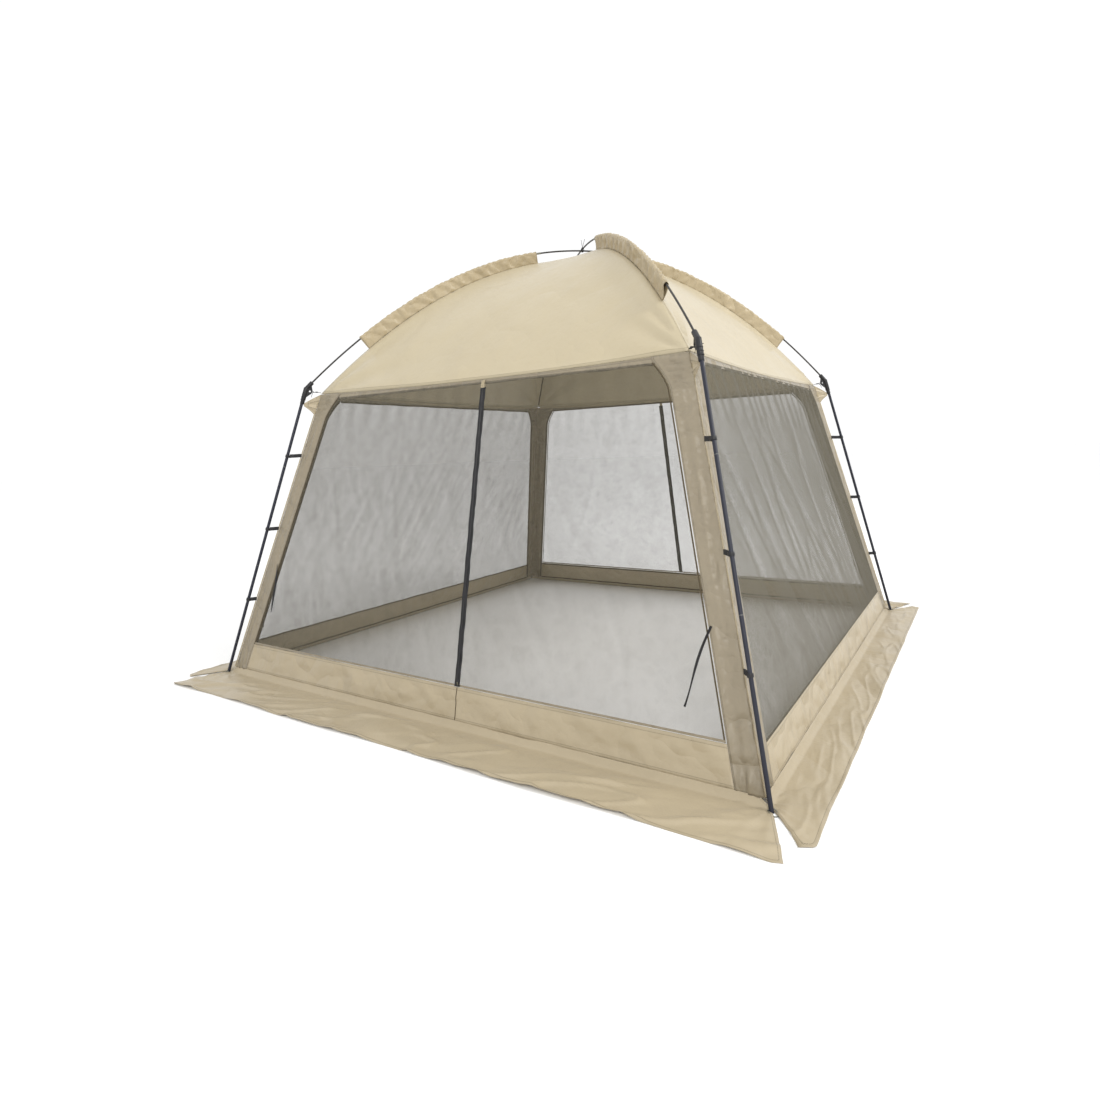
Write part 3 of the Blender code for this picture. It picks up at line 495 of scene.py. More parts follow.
def webbing_material(name, base, ribs=1500.0):
    """Woven tape with ribs across it, the middles of its weave cells painted lighter as a painted highlight.
    """
    material, tree, shader, where = start_material(name)
    weave = place_group(tree, "Plain Weave", {"Cloth": where.outputs["UV"], "Threads": ribs})
    # Gap paints the middle of each weave cell lighter than the lines between: a painted highlight on the
    # threads.
    lit = [min(value * 1.5 + 0.002, 1.0) for value in base]
    tree.links.new(add_mix(tree, weave.outputs["Gap"], list(base), lit), shader.inputs["Base Color"])
    tone = add_noise(tree, where.outputs["Object"], 60.0)
    tree.links.new(add_math(tree, "ADD", add_math(tree, "MULTIPLY", tone, 0.3), 0.5),
                   shader.inputs["Roughness"])
    shader.inputs["Sheen Weight"].default_value = 0.05
    shader.inputs["Specular IOR Level"].default_value = 0.3
    add_bump(tree, shader, weave.outputs["Height"], 0.4, 0.0003)
    return material


def stage_material():
    """Plain pale floor with the faintest mottling."""
    material, tree, shader, where = start_material("studio_floor")
    tone = add_noise(tree, where.outputs["Object"], 0.6, 2.0)
    tree.links.new(add_mix(tree, tone, (0.960, 0.960, 0.960), (0.975, 0.975, 0.975)),
                   shader.inputs["Base Color"])
    shader.inputs["Roughness"].default_value = 0.9
    return material


# ---------------------------------------------------------------- making pieces
def cloth_object(name, points, columns, rows, flat, edge_of, material, thickness=0.0, outward=None):
    """A cloth grid with its flat size as UVs and its distance to a hem as an attribute."""
    wide = columns + 1
    faces = []
    for row in range(rows):
        for column in range(columns):
            low = row * wide + column
            faces.append((low, low + 1, low + wide + 1, low + wide))
    mesh = bpy.data.meshes.new(name)
    mesh.from_pydata([tuple(point) for point in points], [], faces)
    cloth = mesh.uv_layers.new(name="cloth")
    for loop in mesh.loops:
        row, column = divmod(loop.vertex_index, wide)
        cloth.data[loop.index].uv = (column / columns * flat[0], row / rows * flat[1])
    edge = mesh.attributes.new("edge", "FLOAT", "POINT")
    for index in range(len(mesh.vertices)):
        row, column = divmod(index, wide)
        edge.data[index].value = edge_of(column / columns, row / rows)
    item = bpy.data.objects.new(name, mesh)
    bpy.context.collection.objects.link(item)
    mesh.materials.append(material)
    if outward is not None:
        middle = mesh.polygons[len(mesh.polygons) // 2 + columns // 2]
        if middle.normal.dot(outward) < 0.0:
            mesh.flip_normals()
    mesh.shade_smooth()
    if thickness > 0.0:
        wall = item.modifiers.new("thickness", "SOLIDIFY")
        wall.thickness = thickness
        wall.offset = 0.0
        apply_modifiers(item)
    return item


def apply_modifiers(item):
    """Apply every modifier of an object, in order."""
    bpy.ops.object.select_all(action="DESELECT")
    bpy.context.view_layer.objects.active = item
    item.select_set(True)
    for change in list(item.modifiers):
        bpy.ops.object.modifier_apply(modifier=change.name)
    item.select_set(False)


def settle(item):
    """Bake an object's place into its mesh, so that it sits at the origin."""
    bpy.ops.object.select_all(action="DESELECT")
    bpy.context.view_layer.objects.active = item
    item.select_set(True)
    bpy.ops.object.transform_apply(location=True, rotation=True, scale=True)
    item.select_set(False)
    return item


def tape_object(name, path, across, width, thickness, material):
    """A flat tape along a path; across is one direction or one for each point."""
    rings = []
    count = len(path)
    directions = across if isinstance(across, list) else [across] * count
    run = 0.0
    runs = []
    for index, point in enumerate(path):
        before = path[max(index - 1, 0)]
        after = path[min(index + 1, count - 1)]
        along = (after - before).normalized()
        side = directions[index] - along * directions[index].dot(along)
        side = side.normalized() * (width / 2.0)
        up = along.cross(side).normalized() * (thickness / 2.0)
        rings.append([point + side + up, point - side + up, point - side - up, point + side - up])
        if index:
            run += (point - path[index - 1]).length
        runs.append(run)
    points = [corner for ring in rings for corner in ring]
    faces = []
    for step in range(count - 1):
        for corner in range(4):
            after = (corner + 1) % 4
            low = step * 4
            faces.append((low + corner, low + after, low + 4 + after, low + 4 + corner))
    faces.append((3, 2, 1, 0))
    last = (count - 1) * 4
    faces.append((last, last + 1, last + 2, last + 3))
    mesh = bpy.data.meshes.new(name)
    mesh.from_pydata([tuple(point) for point in points], [], faces)
    cloth = mesh.uv_layers.new(name="cloth")
    for loop in mesh.loops:
        ring, corner = divmod(loop.vertex_index, 4)
        cloth.data[loop.index].uv = (width if corner in (0, 3) else 0.0, runs[ring])
    tidy_normals(mesh)
    item = bpy.data.objects.new(name, mesh)
    bpy.context.collection.objects.link(item)
    mesh.materials.append(material)
    return item


def tidy_normals(mesh):
    """Turn every face of a closed mesh outwards."""
    shape = bmesh.new()
    shape.from_mesh(mesh)
    bmesh.ops.recalc_face_normals(shape, faces=shape.faces)
    shape.to_mesh(mesh)
    shape.free()


def tube_object(name, path, radius, sides, material, radii=None):
    """A round tube along a path, with closed ends."""
    points = []
    count = len(path)
    reference = UP
    for index, point in enumerate(path):
        before = path[max(index - 1, 0)]
        after = path[min(index + 1, count - 1)]
        along = (after - before).normalized()
        if abs(along.dot(reference)) > 0.95:
            reference = Vector((0.31, 0.95, 0.05))
        first = along.cross(reference).normalized()
        second = along.cross(first)
        size = radii[index] if radii else radius
        for side in range(sides):
            angle = 2.0 * math.pi * side / sides
            points.append(point + (first * math.cos(angle) + second * math.sin(angle)) * size)
    faces = []
    for step in range(count - 1):
        for side in range(sides):
            after = (side + 1) % sides
            low = step * sides
            faces.append((low + side, low + after, low + sides + after, low + sides + side))
    faces.append(tuple(range(sides - 1, -1, -1)))
    faces.append(tuple(range((count - 1) * sides, count * sides)))
    mesh = bpy.data.meshes.new(name)
    mesh.from_pydata([tuple(point) for point in points], [], faces)
    tidy_normals(mesh)
    mesh.shade_smooth()
    mesh.set_sharp_from_angle(angle=math.radians(50.0))
    item = bpy.data.objects.new(name, mesh)
    bpy.context.collection.objects.link(item)
    mesh.materials.append(material)
    return item


def only(item):
    """Select one object and nothing else."""
    bpy.ops.object.select_all(action="DESELECT")
    bpy.context.view_layer.objects.active = item
    item.select_set(True)


def shape_whole(item, *steps):
    """Run shaping steps on all of an object in edit mode; each is an operator and its settings."""
    only(item)
    bpy.ops.object.mode_set(mode="EDIT")
    bpy.ops.mesh.select_all(action="SELECT")
    for operator, settings in steps:
        operator(**settings)
    bpy.ops.object.mode_set(mode="OBJECT")


def ease_edges(item, width, angle=40.0):
    """Round an object's sharp edges and shade it smooth between them."""
    if width > 0.0:
        ease = item.modifiers.new("ease", "BEVEL")
        ease.width = width
        ease.segments = 2
        ease.limit_method = "ANGLE"
        ease.angle_limit = math.radians(angle)
        apply_modifiers(item)
    only(item)
    bpy.ops.object.shade_smooth_by_angle(angle=math.radians(angle))
    item.select_set(False)
    return item


def refined_copy(node, name, material, bevel=0.0008):
    """A node's shape with its flat facets merged, its edges eased and shaded smooth."""
    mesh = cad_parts[node].data.copy()
    mesh.name = name
    mesh.materials.clear()
    mesh.materials.append(material)
    item = bpy.data.objects.new(name, mesh)
    bpy.context.collection.objects.link(item)
    shape_whole(item, (bpy.ops.mesh.remove_doubles, {"threshold": 0.00002}),
                (bpy.ops.mesh.dissolve_limited, {"angle_limit": math.radians(1.5)}))
    return ease_edges(item, bevel)


def turned_bar(name, start, end, radius, material, sides=32, ease=0.0004):
    """A round bar between two points, with its rims eased."""
    along = end - start
    bpy.ops.object.select_all(action="DESELECT")
    bpy.ops.mesh.primitive_cylinder_add(vertices=sides, radius=radius, depth=along.length,
                                        location=(start + end) / 2.0,
                                        rotation=along.to_track_quat("Z", "Y").to_euler())
    item = bpy.context.object
    item.name = item.data.name = name
    settle(item)
    item.data.materials.append(material)
    return ease_edges(item, ease)


def lipped_ring(name, start, end, radius, lip, material, sides=36):
    """A short ring whose end faces are set in and raised, like a moulded or pressed lip."""
    item = turned_bar(name, start, end, radius, material, sides, 0.0)
    along = (end - start).normalized()
    only(item)
    bpy.ops.object.mode_set(mode="EDIT")
    bpy.ops.mesh.select_mode(type="FACE")
    bpy.ops.mesh.select_all(action="DESELECT")
    bpy.ops.object.mode_set(mode="OBJECT")
    for face in item.data.polygons:
        face.select = abs(face.normal.dot(along)) > 0.9
    bpy.ops.object.mode_set(mode="EDIT")
    bpy.ops.mesh.inset(thickness=lip, depth=lip * 0.5, use_individual=True)
    bpy.ops.object.mode_set(mode="OBJECT")
    return ease_edges(item, lip * 0.25)


def drawn_rod(name, path, radius, material):
    """A round rod drawn along a path, with closed ends."""
    bpy.ops.object.select_all(action="DESELECT")
    bpy.ops.curve.primitive_bezier_curve_add(location=(0.0, 0.0, 0.0))
    item = bpy.context.object
    item.name = name
    curve = item.data
    curve.splines.clear()
    line = curve.splines.new("POLY")
    line.points.add(len(path) - 1)
    for place, point in zip(line.points, path):
        place.co = (point.x, point.y, point.z, 1.0)
    curve.bevel_depth = radius
    curve.bevel_resolution = 4
    curve.use_fill_caps = True
    bpy.ops.object.convert(target="MESH")
    item = bpy.context.object
    item.data.name = name
    shape_whole(item, (bpy.ops.mesh.remove_doubles, {"threshold": 0.00002}),
                (bpy.ops.mesh.normals_make_consistent, {"inside": False}))
    item.data.materials.clear()
    item.data.materials.append(material)
    return ease_edges(settle(item), 0.0, 50.0)


def moulded_block(name, centre, axes, sizes, material, ease):
    """A block with eased edges, set along three directions."""
    turn = Matrix((axes[0], axes[1], axes[2])).transposed()
    bpy.ops.object.select_all(action="DESELECT")
    bpy.ops.mesh.primitive_cube_add(size=1.0, location=centre, rotation=turn.to_euler(), scale=sizes)
    item = bpy.context.object
    item.name = item.data.name = name
    settle(item)
    item.data.materials.append(material)
    return ease_edges(item, ease)


def turned_path(points, degrees):
    """Points turned about the upright axis."""
    matrix = turn_matrix(degrees)
    return [matrix @ Vector(point) for point in points]


def material(name):
    """One of the finishes, by name."""
    return bpy.data.materials[name]


# ---------------------------------------------------------------- roof
def gore_point(across, share, sizes, seed):
    """A point of the front roof panel: across runs -1 to 1, share 0 at the peak to 1."""
    half = LINE["roof_half"] * share
    base = ridge_z(half * ROOT2)
    x = (half - 0.0006) * across
    sag = (LINE["corner_z"] - LINE["eave_z"]) * share * share * (1.0 - across * across)
    point = Vector((x, -half, base - sag))
    fall = 2.0 * (LINE["roof_apex"] - LINE["corner_z"]) * share / LINE["roof_half"]
    out = Vector((0.0, -fall, 1.0)).normalized()
    edge = 1.0 - across * across
    calm = smooth_step(1.0 - abs(across), 0.0, 0.05) * smooth_step(1.0 - share, 0.0, 0.02)
    depth = -ROOF_SLACK * edge * math.sin(math.pi * share) ** 0.8
    for side in (-1.0, 1.0):
        corner = Vector((side * LINE["roof_half"], 0.0, -LINE["roof_half"]))
        place = Vector((x, 0.0, -half))
        gap = place - corner
        distance = gap.length
        angle = math.atan2(-side * gap.x, gap.z)
        pull = math.exp(-distance / 0.42) * smooth_step(distance, 0.0, 0.10)
        stray = wander((angle * 2.0, side, 0.0), 1.3, seed) * 2.5
        ripple = math.sin(angle * 21.0 + seed * 2.0 + side + stray)
        depth += sizes.roof_folds * pull * ripple
        long_pull = math.exp(-distance / 0.95) * smooth_step(distance, 0.05, 0.35)
        depth += ROOF_PULL * long_pull * math.sin(angle * 13.0 + seed * 1.3 + side * 2.0)
    broad = wander((x * 1.1, half * 1.6, 0.0), 1.6, seed)
    fine = wander((x, half * 1.3, 1.0), 9.0, seed + 4.0)
    depth += ROOF_BROAD * broad * edge + ROOF_FINE * fine
    seam = math.exp(-(1.0 - abs(across)) * half / 0.035)
    gather = math.sin(half * 170.0 + wander((half * 8.0, across, 0.0), 1.0, seed) * 3.0)
    depth += ROOF_PUCKER * seam * gather * smooth_step(1.0 - share, 0.0, 0.05)
    return point + out * (depth * calm)


def make_roof(sizes):
    """Four roof panels, with their hems and the dark bindings under the ridge seams."""
    columns, rows = 110, 84
    made = []
    for number, (wall, turn) in enumerate(WALLS.items()):
        matrix = turn_matrix(turn)
        points = grid(columns, rows, lambda u, v: matrix @ gore_point(
            2.0 * u - 1.0, PEAK_SHARE + (1.0 - PEAK_SHARE) * v, sizes, number + 1.0))
        side = LINE["roof_half"]
        slope = math.hypot(side, LINE["roof_apex"] - LINE["corner_z"]) * 1.03
        item = cloth_object("roof_panel_" + wall, points, columns, rows, (2.0 * side, slope),
                            lambda u, v: (1.0 - v) * slope, material("roof_cloth_finish"),
                            sizes.cloth, matrix @ Vector((0.0, -0.5, 0.9)))
        hem = roof_hem(wall, matrix, sizes, number)
        belong([item, hem], "shelter")
        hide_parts("roof_gore_" + wall)
        made += [item, hem]
    for corner, turn in CORNERS.items():
        path = []
        for share in shares(28):
            reach = 0.03 + (LINE["roof_half"] * ROOT2 - 0.05) * share
            wave = 0.0012 * math.sin(reach * 60.0 + turn)
            path.append(Vector((reach, wave, ridge_z(reach) - 0.0055)))
        across = turn_matrix(turn) @ Vector((0.0, 1.0, 0.0))
        item = tape_object("roof_binding_" + corner, turned_path(path, turn), across,
                           sizes.binding, 0.0012, material("seam_binding"))
        belong([item], "shelter")
        made.append(item)
    return made


def roof_hem(wall, matrix, sizes, number):
    """The doubled hem that hangs just inside a roof edge."""
    path = []
    for share in shares(72):
        across = (2.0 * share - 1.0) * 0.985
        point = gore_point(across, 0.9985, sizes, number + 1.0)
        drop = 0.008 + 0.0012 * wander((across * 9.0, number, 0.0), 1.0, 3.0)
        point.z -= drop
        point.y = -LINE["roof_half"] + 0.0022
        path.append(matrix @ point)
    return tape_object("roof_hem_" + wall, path, UP, 0.013, 0.0010, material("roof_cloth_finish"))


def sleeve_ring(reach, which, seed, count):
    """The closed outline of a gathered sleeve where it crosses its rod."""
    centre = rod_point(reach, which)
    slope = 2.0 * (ROD_APEX[which] - ROD_END.z) * reach / ROD_END.x ** 2
    along = Vector((-1.0, 0.0, slope)).normalized()
    across = Vector((0.0, 1.0, 0.0))
    up = along.cross(across)
    if up.z < 0.0:
        up = -up
    foot = centre.copy()
    for _ in range(14):
        foot -= up * ((foot.z - ridge_z(foot.x)) * 0.8)
    depth = (centre - foot).length
    ring = []
    for turn in shares(count)[:-1]:
        c, s = math.cos(2.0 * math.pi * turn), math.sin(2.0 * math.pi * turn)
        gather = wander((reach * 26.0 + s * 1.2, c * 0.8, s * 0.8), 1.0, seed)
        crease = math.sin(reach * 210.0 + c * 2.2 + gather * 3.0)
        size = ROD_RADIUS + SLEEVE_EASE + SLEEVE_GATHER_DEPTH * gather + SLEEVE_CREASE * crease
        if s > -0.25:
            offset = across * c * size + up * s * size * 1.06
        else:
            share = (-s - 0.25) / 0.75
            narrow = size * (1.0 - share) ** 1.4 + 0.0016
            low = 0.25 * size + (depth - 0.25 * size) * share
            sway = math.sin(reach * 95.0 + share * 2.0 + seed + gather)
            sway *= SLEEVE_SWAY * share * (1.0 - share) * 4.0
            offset = across * (math.copysign(narrow, c) * min(abs(c) * 3.0, 1.0) + sway) - up * low
        ring.append(centre + offset)
    return ring


SLEEVE_ENDS = {"front_right": (0.290, 1.275), "back_right": (0.345, 1.278),
               "back_left": (0.285, 1.278), "front_left": (0.272, 1.270)}
SLEEVE_CLOTH = 0.150          # flat width of a sleeve before it is folded and gathered
SLEEVE_GATHER = 1.16          # flat length for one metre of sleeve


def make_sleeves():
    """Gathered sleeves round the arch rods, open at both ends."""
    made = []
    count, steps = 28, 150
    for number, (corner, turn) in enumerate(CORNERS.items()):
        which = "upper" if corner in ("front_right", "back_left") else "lower"
        start, end = SLEEVE_ENDS[corner]
        points = []
        for share in shares(steps):
            ring = sleeve_ring(start + (end - start) * share, which, number + 11.0, count)
            points += turned_path(ring + ring[:1], turn)
        flat = (SLEEVE_CLOTH, (end - start) * SLEEVE_GATHER)
        item = cloth_object("sleeve_cloth_" + corner, points, count, steps, flat,
                            lambda u, v: min(v, 1.0 - v) * flat[1], material("sleeve_cloth_finish"))
        shape_whole(item, (bpy.ops.mesh.remove_doubles, {"threshold": 0.00001}),
                    (bpy.ops.mesh.normals_make_consistent, {"inside": False}))
        wall = item.modifiers.new("thickness", "SOLIDIFY")
        wall.thickness = 0.0006
        wall.offset = 1.0
        apply_modifiers(item)
        belong([item], "shelter")
        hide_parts("rod_sleeve_" + corner)
        made.append(item)
    return made


# ---------------------------------------------------------------- walls
def wall_point(x, z, off=0.0):
    """A point of the front wall's plane, moved out by a distance."""
    return Vector((x, -corner_half(z), z)) + WALL_OUT * off


def make_corner_panels(sizes):
    """Folded corner strips: gathered under the roof, loosely folded down to the ground."""
    made = []
    columns, rows = 40, 170
    for number, (corner, turn) in enumerate(CORNERS.items()):
        matrix = turn_matrix(turn + 45.0)

        def strip_point(u, v):
            place = 2.0 * u - 1.0
            low = LINE["seam_z"] - 0.004
            high = eave_height(LINE["roof_half"] * (1.0 - 0.10 * abs(place))) - 0.004
            return matrix @ panel_point(place, low + (high - low) * v, sizes, number + 21.0)

        width = sizes.strip_width
        flat = (2.12 * width, (LINE["wall_top_z"] - LINE["seam_z"]) / WALL_UP.z)
        item = cloth_object("corner_strip_" + corner, grid(columns, rows, strip_point), columns, rows,
                            flat, lambda u, v: min(u, 1.0 - u) * 2.0 * width,
                            material("strip_cloth_painted_shade"), sizes.cloth,
                            turn_matrix(turn) @ Vector((1.0, 0.0, 0.2)))
        extras = [corner_piping(corner, turn), corner_flap(corner, turn, sizes, number)]
        belong([item] + extras, "shelter")
        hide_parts("corner_panel_" + corner)
        edges = [strip_binding(corner, turn, name, sizes) for name in ("edge_a", "edge_b")]
        belong(edges, "shelter")
        made += [item] + extras + edges
    return made


def panel_point(place, z, sizes, seed):
    """A point of the corner at +X, -Y: place runs from the right wall round to the front."""
    half = corner_half(z)
    width = half - strip_edge(z, sizes)
    share = abs(place)
    run = half - width * share
    if place > 0.0:
        point, out = Vector((run, -half, z)), WALL_OUT
    else:
        point, out = Vector((half, -run, z)), Vector((-WALL_OUT.y, 0.0, WALL_OUT.z))
    top = smooth_step(z, LINE["wall_top_z"] - 0.20, LINE["wall_top_z"] - 0.01)
    low = smooth_step(LINE["seam_z"] + 0.22 - z, 0.0, 0.22)
    middle = math.sin(math.pi * share) if share < 1.0 else 0.0
    gather = math.sin((LINE["wall_top_z"] - z) * 210.0 + share * 1.6 + seed)
    depth = STRIP_GATHER * gather * top * middle
    slant = z + place * 0.30
    long_fold = wander((slant * 2.2, place * 3.0, 0.0), 1.4, seed)
    depth += STRIP_FOLD * long_fold * middle * (1.0 - top)
    pucker = math.sin((z * 2.4 + share * width * 7.0) * 26.0 + seed)
    depth += STRIP_PUCKER * pucker * low * middle
    depth += STRIP_FINE * wander((place * 2.0, z * 14.0, 0.0), 1.0, seed + 2.0) * middle
    rounding = 0.004 * math.exp(-(share * width / 0.004) ** 2)
    depth *= 1.0 - 0.8 * smooth_step(z, LINE["wall_top_z"], LINE["corner_z"])
    point += out * (depth + 0.0004)
    point -= Vector((1.0, -1.0, 0.0)).normalized() * rounding * 0.5
    return point


def corner_piping(corner, turn):
    """Cream piping sewn down a corner seam, on the side towards the leg."""
    path = []
    for share in shares(60):
        z = LINE["seam_z"] + 0.002 + (LINE["corner_z"] - LINE["seam_z"] - 0.012) * share
        reach = corner_half(z) * ROOT2 + 0.0028
        path.append(Vector((reach, 0.0006 * math.sin(z * 31.0), z)))
    across = turn_matrix(turn) @ UP_LEG.cross(Vector((0.0, 1.0, 0.0)))
    return tape_object("corner_piping_" + corner, turned_path(path, turn), across, 0.0058, 0.0016,
                       material("piping_finish"))


def corner_flap(corner, turn, sizes, number):
    """The pointed tab that carries the wall's corner out to the top of the leg."""
    columns, rows = 22, 18
    top = LINE["wall_top_z"]
    tip_z = top - 0.030
    tip = (FOOT_HALF - LEG_LEAN * tip_z) * ROOT2 - 0.0145

    def tab_point(u, v):
        low = top - 0.085 + (tip_z - 0.004 - top + 0.085) * u
        high = LINE["corner_z"] - 0.004
        high += (tip_z + 0.010 - high) * u
        z = low + (high - low) * v
        start = corner_half(z) * ROOT2 - 0.001
        fan = math.sin(v * 15.0 + number) * 0.0030 * math.sin(math.pi * min(u + 0.12, 1.0))
        return Vector((start + (tip - start) * u, fan, z))

    points = turned_path(grid(columns, rows, tab_point), turn)
    return cloth_object("corner_tab_" + corner, points, columns, rows, (0.045, 0.060),
                        lambda u, v: min(1.0 - u, v, 1.0 - v) * 0.04, material("wall_cloth_finish"),
                        sizes.cloth, turn_matrix(turn) @ Vector((0.0, -1.0, 0.0)))


def strip_binding(corner, turn, name, sizes):
    """Dark binding inside, along one inner edge of a corner strip."""
    path = []
    for share in shares(56):
        z = LINE["seam_z"] + 0.004 + (LINE["wall_top_z"] - LINE["seam_z"] - 0.010) * share
        point = wall_point(strip_edge(z, sizes) + 0.0090, z, SEAM_BACK)
        if name == "edge_b":
            point = Vector((-point.y, -point.x, point.z))
        path.append(point)
    across = Vector((1.0, 0.0, 0.0)) if name == "edge_a" else Vector((0.0, 1.0, 0.0))
    return tape_object("strip_binding_%s_%s" % (corner, name), turned_path(path, turn + 45.0),
                       turn_matrix(turn + 45.0) @ across, sizes.binding, 0.0010, material("seam_binding"))


def band_depth(x, z, top, seed):
    """Slack folds of a ground band."""
    share = (z - LINE["seam_z"]) / (top - LINE["seam_z"])
    middle = math.sin(math.pi * min(max(share, 0.0), 1.0))
    slant = x * 3.0 + z * 4.0 * math.sin(x * 2.3 + seed)
    fold = wander((slant, z * 5.0, 0.0), 1.5, seed)
    fine = wander((x * 3.4, z * 7.0, 2.0), 4.0, seed + 1.0)
    crease = abs(wander((x * 2.0 + z * 2.4, z * 1.2, 4.0), 3.0, seed + 2.0))
    return (BAND_FOLD * fold + BAND_FINE * fine - BAND_CREASE * crease) * (0.25 + 0.75 * middle)


def band_sheet(name, wall, top, sizes, seed):
    """A ground band across one wall."""
    columns, rows = 240, 14
    matrix = turn_matrix(WALLS[wall])

    def band_point(u, v):
        z = LINE["seam_z"] - 0.003 + (top - LINE["seam_z"] + 0.003) * v
        edge = strip_edge(z, sizes) - 0.0006
        x = edge * (2.0 * u - 1.0)
        calm = smooth_step(edge - abs(x), 0.0, 0.03)
        return matrix @ wall_point(x, z, band_depth(x, z, top, seed) * calm + 0.0002)

    flat = (2.0 * strip_edge(top, sizes) * 1.01, (top - LINE["seam_z"]) * 1.06)
    item = cloth_object(name, grid(columns, rows, band_point), columns, rows, flat,
                        lambda u, v: min(v, 1.0 - v) * 0.13, material("wall_cloth_finish"),
                        sizes.cloth, matrix @ WALL_OUT)
    return item, flat


def make_bands(sizes):
    """Ground bands of the front and back walls, with their dark bindings inside."""
    made = []
    for number, wall in enumerate(("front", "back")):
        item, flat = band_sheet("ground_band_" + wall, wall, LINE["band_top"], sizes, number + 31.0)
        belong([item], "shelter")
        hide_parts("bottom_band_" + wall)
        extras = [wall_tape(wall, "band_top_" + wall, LINE["band_top"] - 0.006, sizes, SEAM_BACK),
                  wall_tape(wall, "band_foot_" + wall, LINE["seam_z"] + 0.004, sizes, SEAM_BACK)]
        seam = zip_seam(wall)
        belong(extras + [seam], "shelter")
        made += [item, seam] + extras
    return made


def zip_place(wall, z):
    """Where a wall's zip lies at a height, in the wall's own axes."""
    if wall == "back":
        return 0.0
    share = (z - LINE["band_top"]) / (LINE["wall_top_z"] - LINE["band_top"])
    return FRONT_ZIP_FOOT + (FRONT_ZIP_TOP - FRONT_ZIP_FOOT) * share


def zip_seam(wall):
    """The seam that runs on from a zip down through the band."""
    path = []
    for step in range(13):
        z = LINE["seam_z"] + 0.002 + (LINE["band_top"] - LINE["seam_z"] - 0.004) * step / 12
        x = zip_place(wall, z) + 0.0008 * math.sin(step * 1.3)
        depth = band_depth(x, z, LINE["band_top"], 31.0 if wall == "front" else 32.0)
        path.append(wall_point(x, z, depth + 0.0012))
    return tape_object("zip_seam_" + wall, turned_path(path, WALLS[wall]),
                       turn_matrix(WALLS[wall]) @ Vector((1.0, 0.0, 0.0)), 0.0035, 0.0010,
                       material("seam_binding"))


def wall_tape(wall, name, z, sizes, off):
    """A level dark tape across a wall."""
    edge = strip_edge(z, sizes) - 0.004
    path = []
    for share in shares(60):
        x = edge * (2.0 * share - 1.0)
        path.append(wall_point(x, z + 0.0010 * math.sin(x * 23.0 + z), off))
    return tape_object("binding_" + name, turned_path(path, WALLS[wall]),
                       turn_matrix(WALLS[wall]) @ WALL_UP, sizes.binding, 0.0010, material("seam_binding"))


def netting_depth(x, z, seed, amount):
    """Slack of a netting panel: broad billows and slanting gathers below the roof."""
    up = (z - LINE["seam_z"]) / (LINE["wall_top_z"] - LINE["seam_z"])
    broad = wander((x * 0.9, z * 0.8, 0.0), 1.2, seed)
    long_fold = wander((x * 4.2 + z * 0.9, z * 0.5, 1.0), 1.0, seed + 1.0)
    gather = math.sin(x * 52.0 + z * 11.0 + 2.5 * wander((x * 3.0, z, 0.0), 1.0, seed))
    near_top = smooth_step(up, 0.80, 0.99)
    slack = math.sin(math.pi * min(max(up, 0.0), 1.0))
    crease = abs(wander((x * 5.5 + z * 3.0, z * 1.1 - x * 0.4, 4.0), 1.2, seed + 2.0))
    folds = NET_FOLD * long_fold + NET_GATHER * gather * near_top
    folds -= NET_CREASE * max(0.2 - crease, 0.0) / 0.2 * slack
    return NET_BILLOW * broad * slack + folds * amount


def netting_sheet(name, wall, outline, low, high, seed, cells, flat):
    """A netting panel between two side lines; outline gives its left and right x at a height."""
    columns, rows = cells
    amount = 1.5 if wall == "right" else 0.5
    matrix = turn_matrix(WALLS[wall])

    def netting_point(u, v):
        z = low + (high - low) * v
        left, right = outline(z)
        x = left + (right - left) * u
        calm = smooth_step(min(x - left, right - x), 0.0, 0.06)
        calm *= smooth_step(min(z - low, high - z + 0.01), 0.0, 0.05)
        return matrix @ wall_point(x, z, netting_depth(x, z, seed, amount) * calm)

    return cloth_object(name, grid(columns, rows, netting_point), columns, rows, flat,
                        lambda u, v: min(min(u, 1.0 - u) * flat[0], min(v, 1.0 - v) * flat[1]),
                        material("insect_netting"), 0.0, matrix @ WALL_OUT)


def make_side_walls(sizes):
    """Netting and ground band of the right and left walls."""
    made = []
    for number, wall in enumerate(("right", "left")):
        top = LINE["band_top"] - 0.012
        net_top = LINE["wall_top_z"]

        def outline(z):
            edge = strip_edge(z, sizes) - 0.0006
            return -edge, edge

        tall = (net_top - top) / WALL_UP.z
        wide = 2.0 * strip_edge(top, sizes)
        flat = (wide * 1.01, tall * 1.01)
        net = netting_sheet("netting_" + wall, wall, outline, top, net_top, number + 41.0, (120, 72),
                            flat)
        band, band_flat = band_sheet("ground_band_" + wall, wall, top, sizes, number + 45.0)
        extras = [wall_tape(wall, name + wall, z, sizes, SEAM_BACK)
                  for name, z in (("mesh_foot_", top), ("mesh_top_", net_top - 0.008),
                                  ("wall_foot_", LINE["seam_z"] + 0.004))]
        belong([net], "shelter")
        belong([band], "shelter")
        belong(extras, "shelter")
        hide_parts("mesh_wall_" + wall)
        area = (strip_edge(top, sizes) + strip_edge(net_top, sizes)) * tall
        made += [net, band, head_strip(wall, sizes)] + extras
    return made


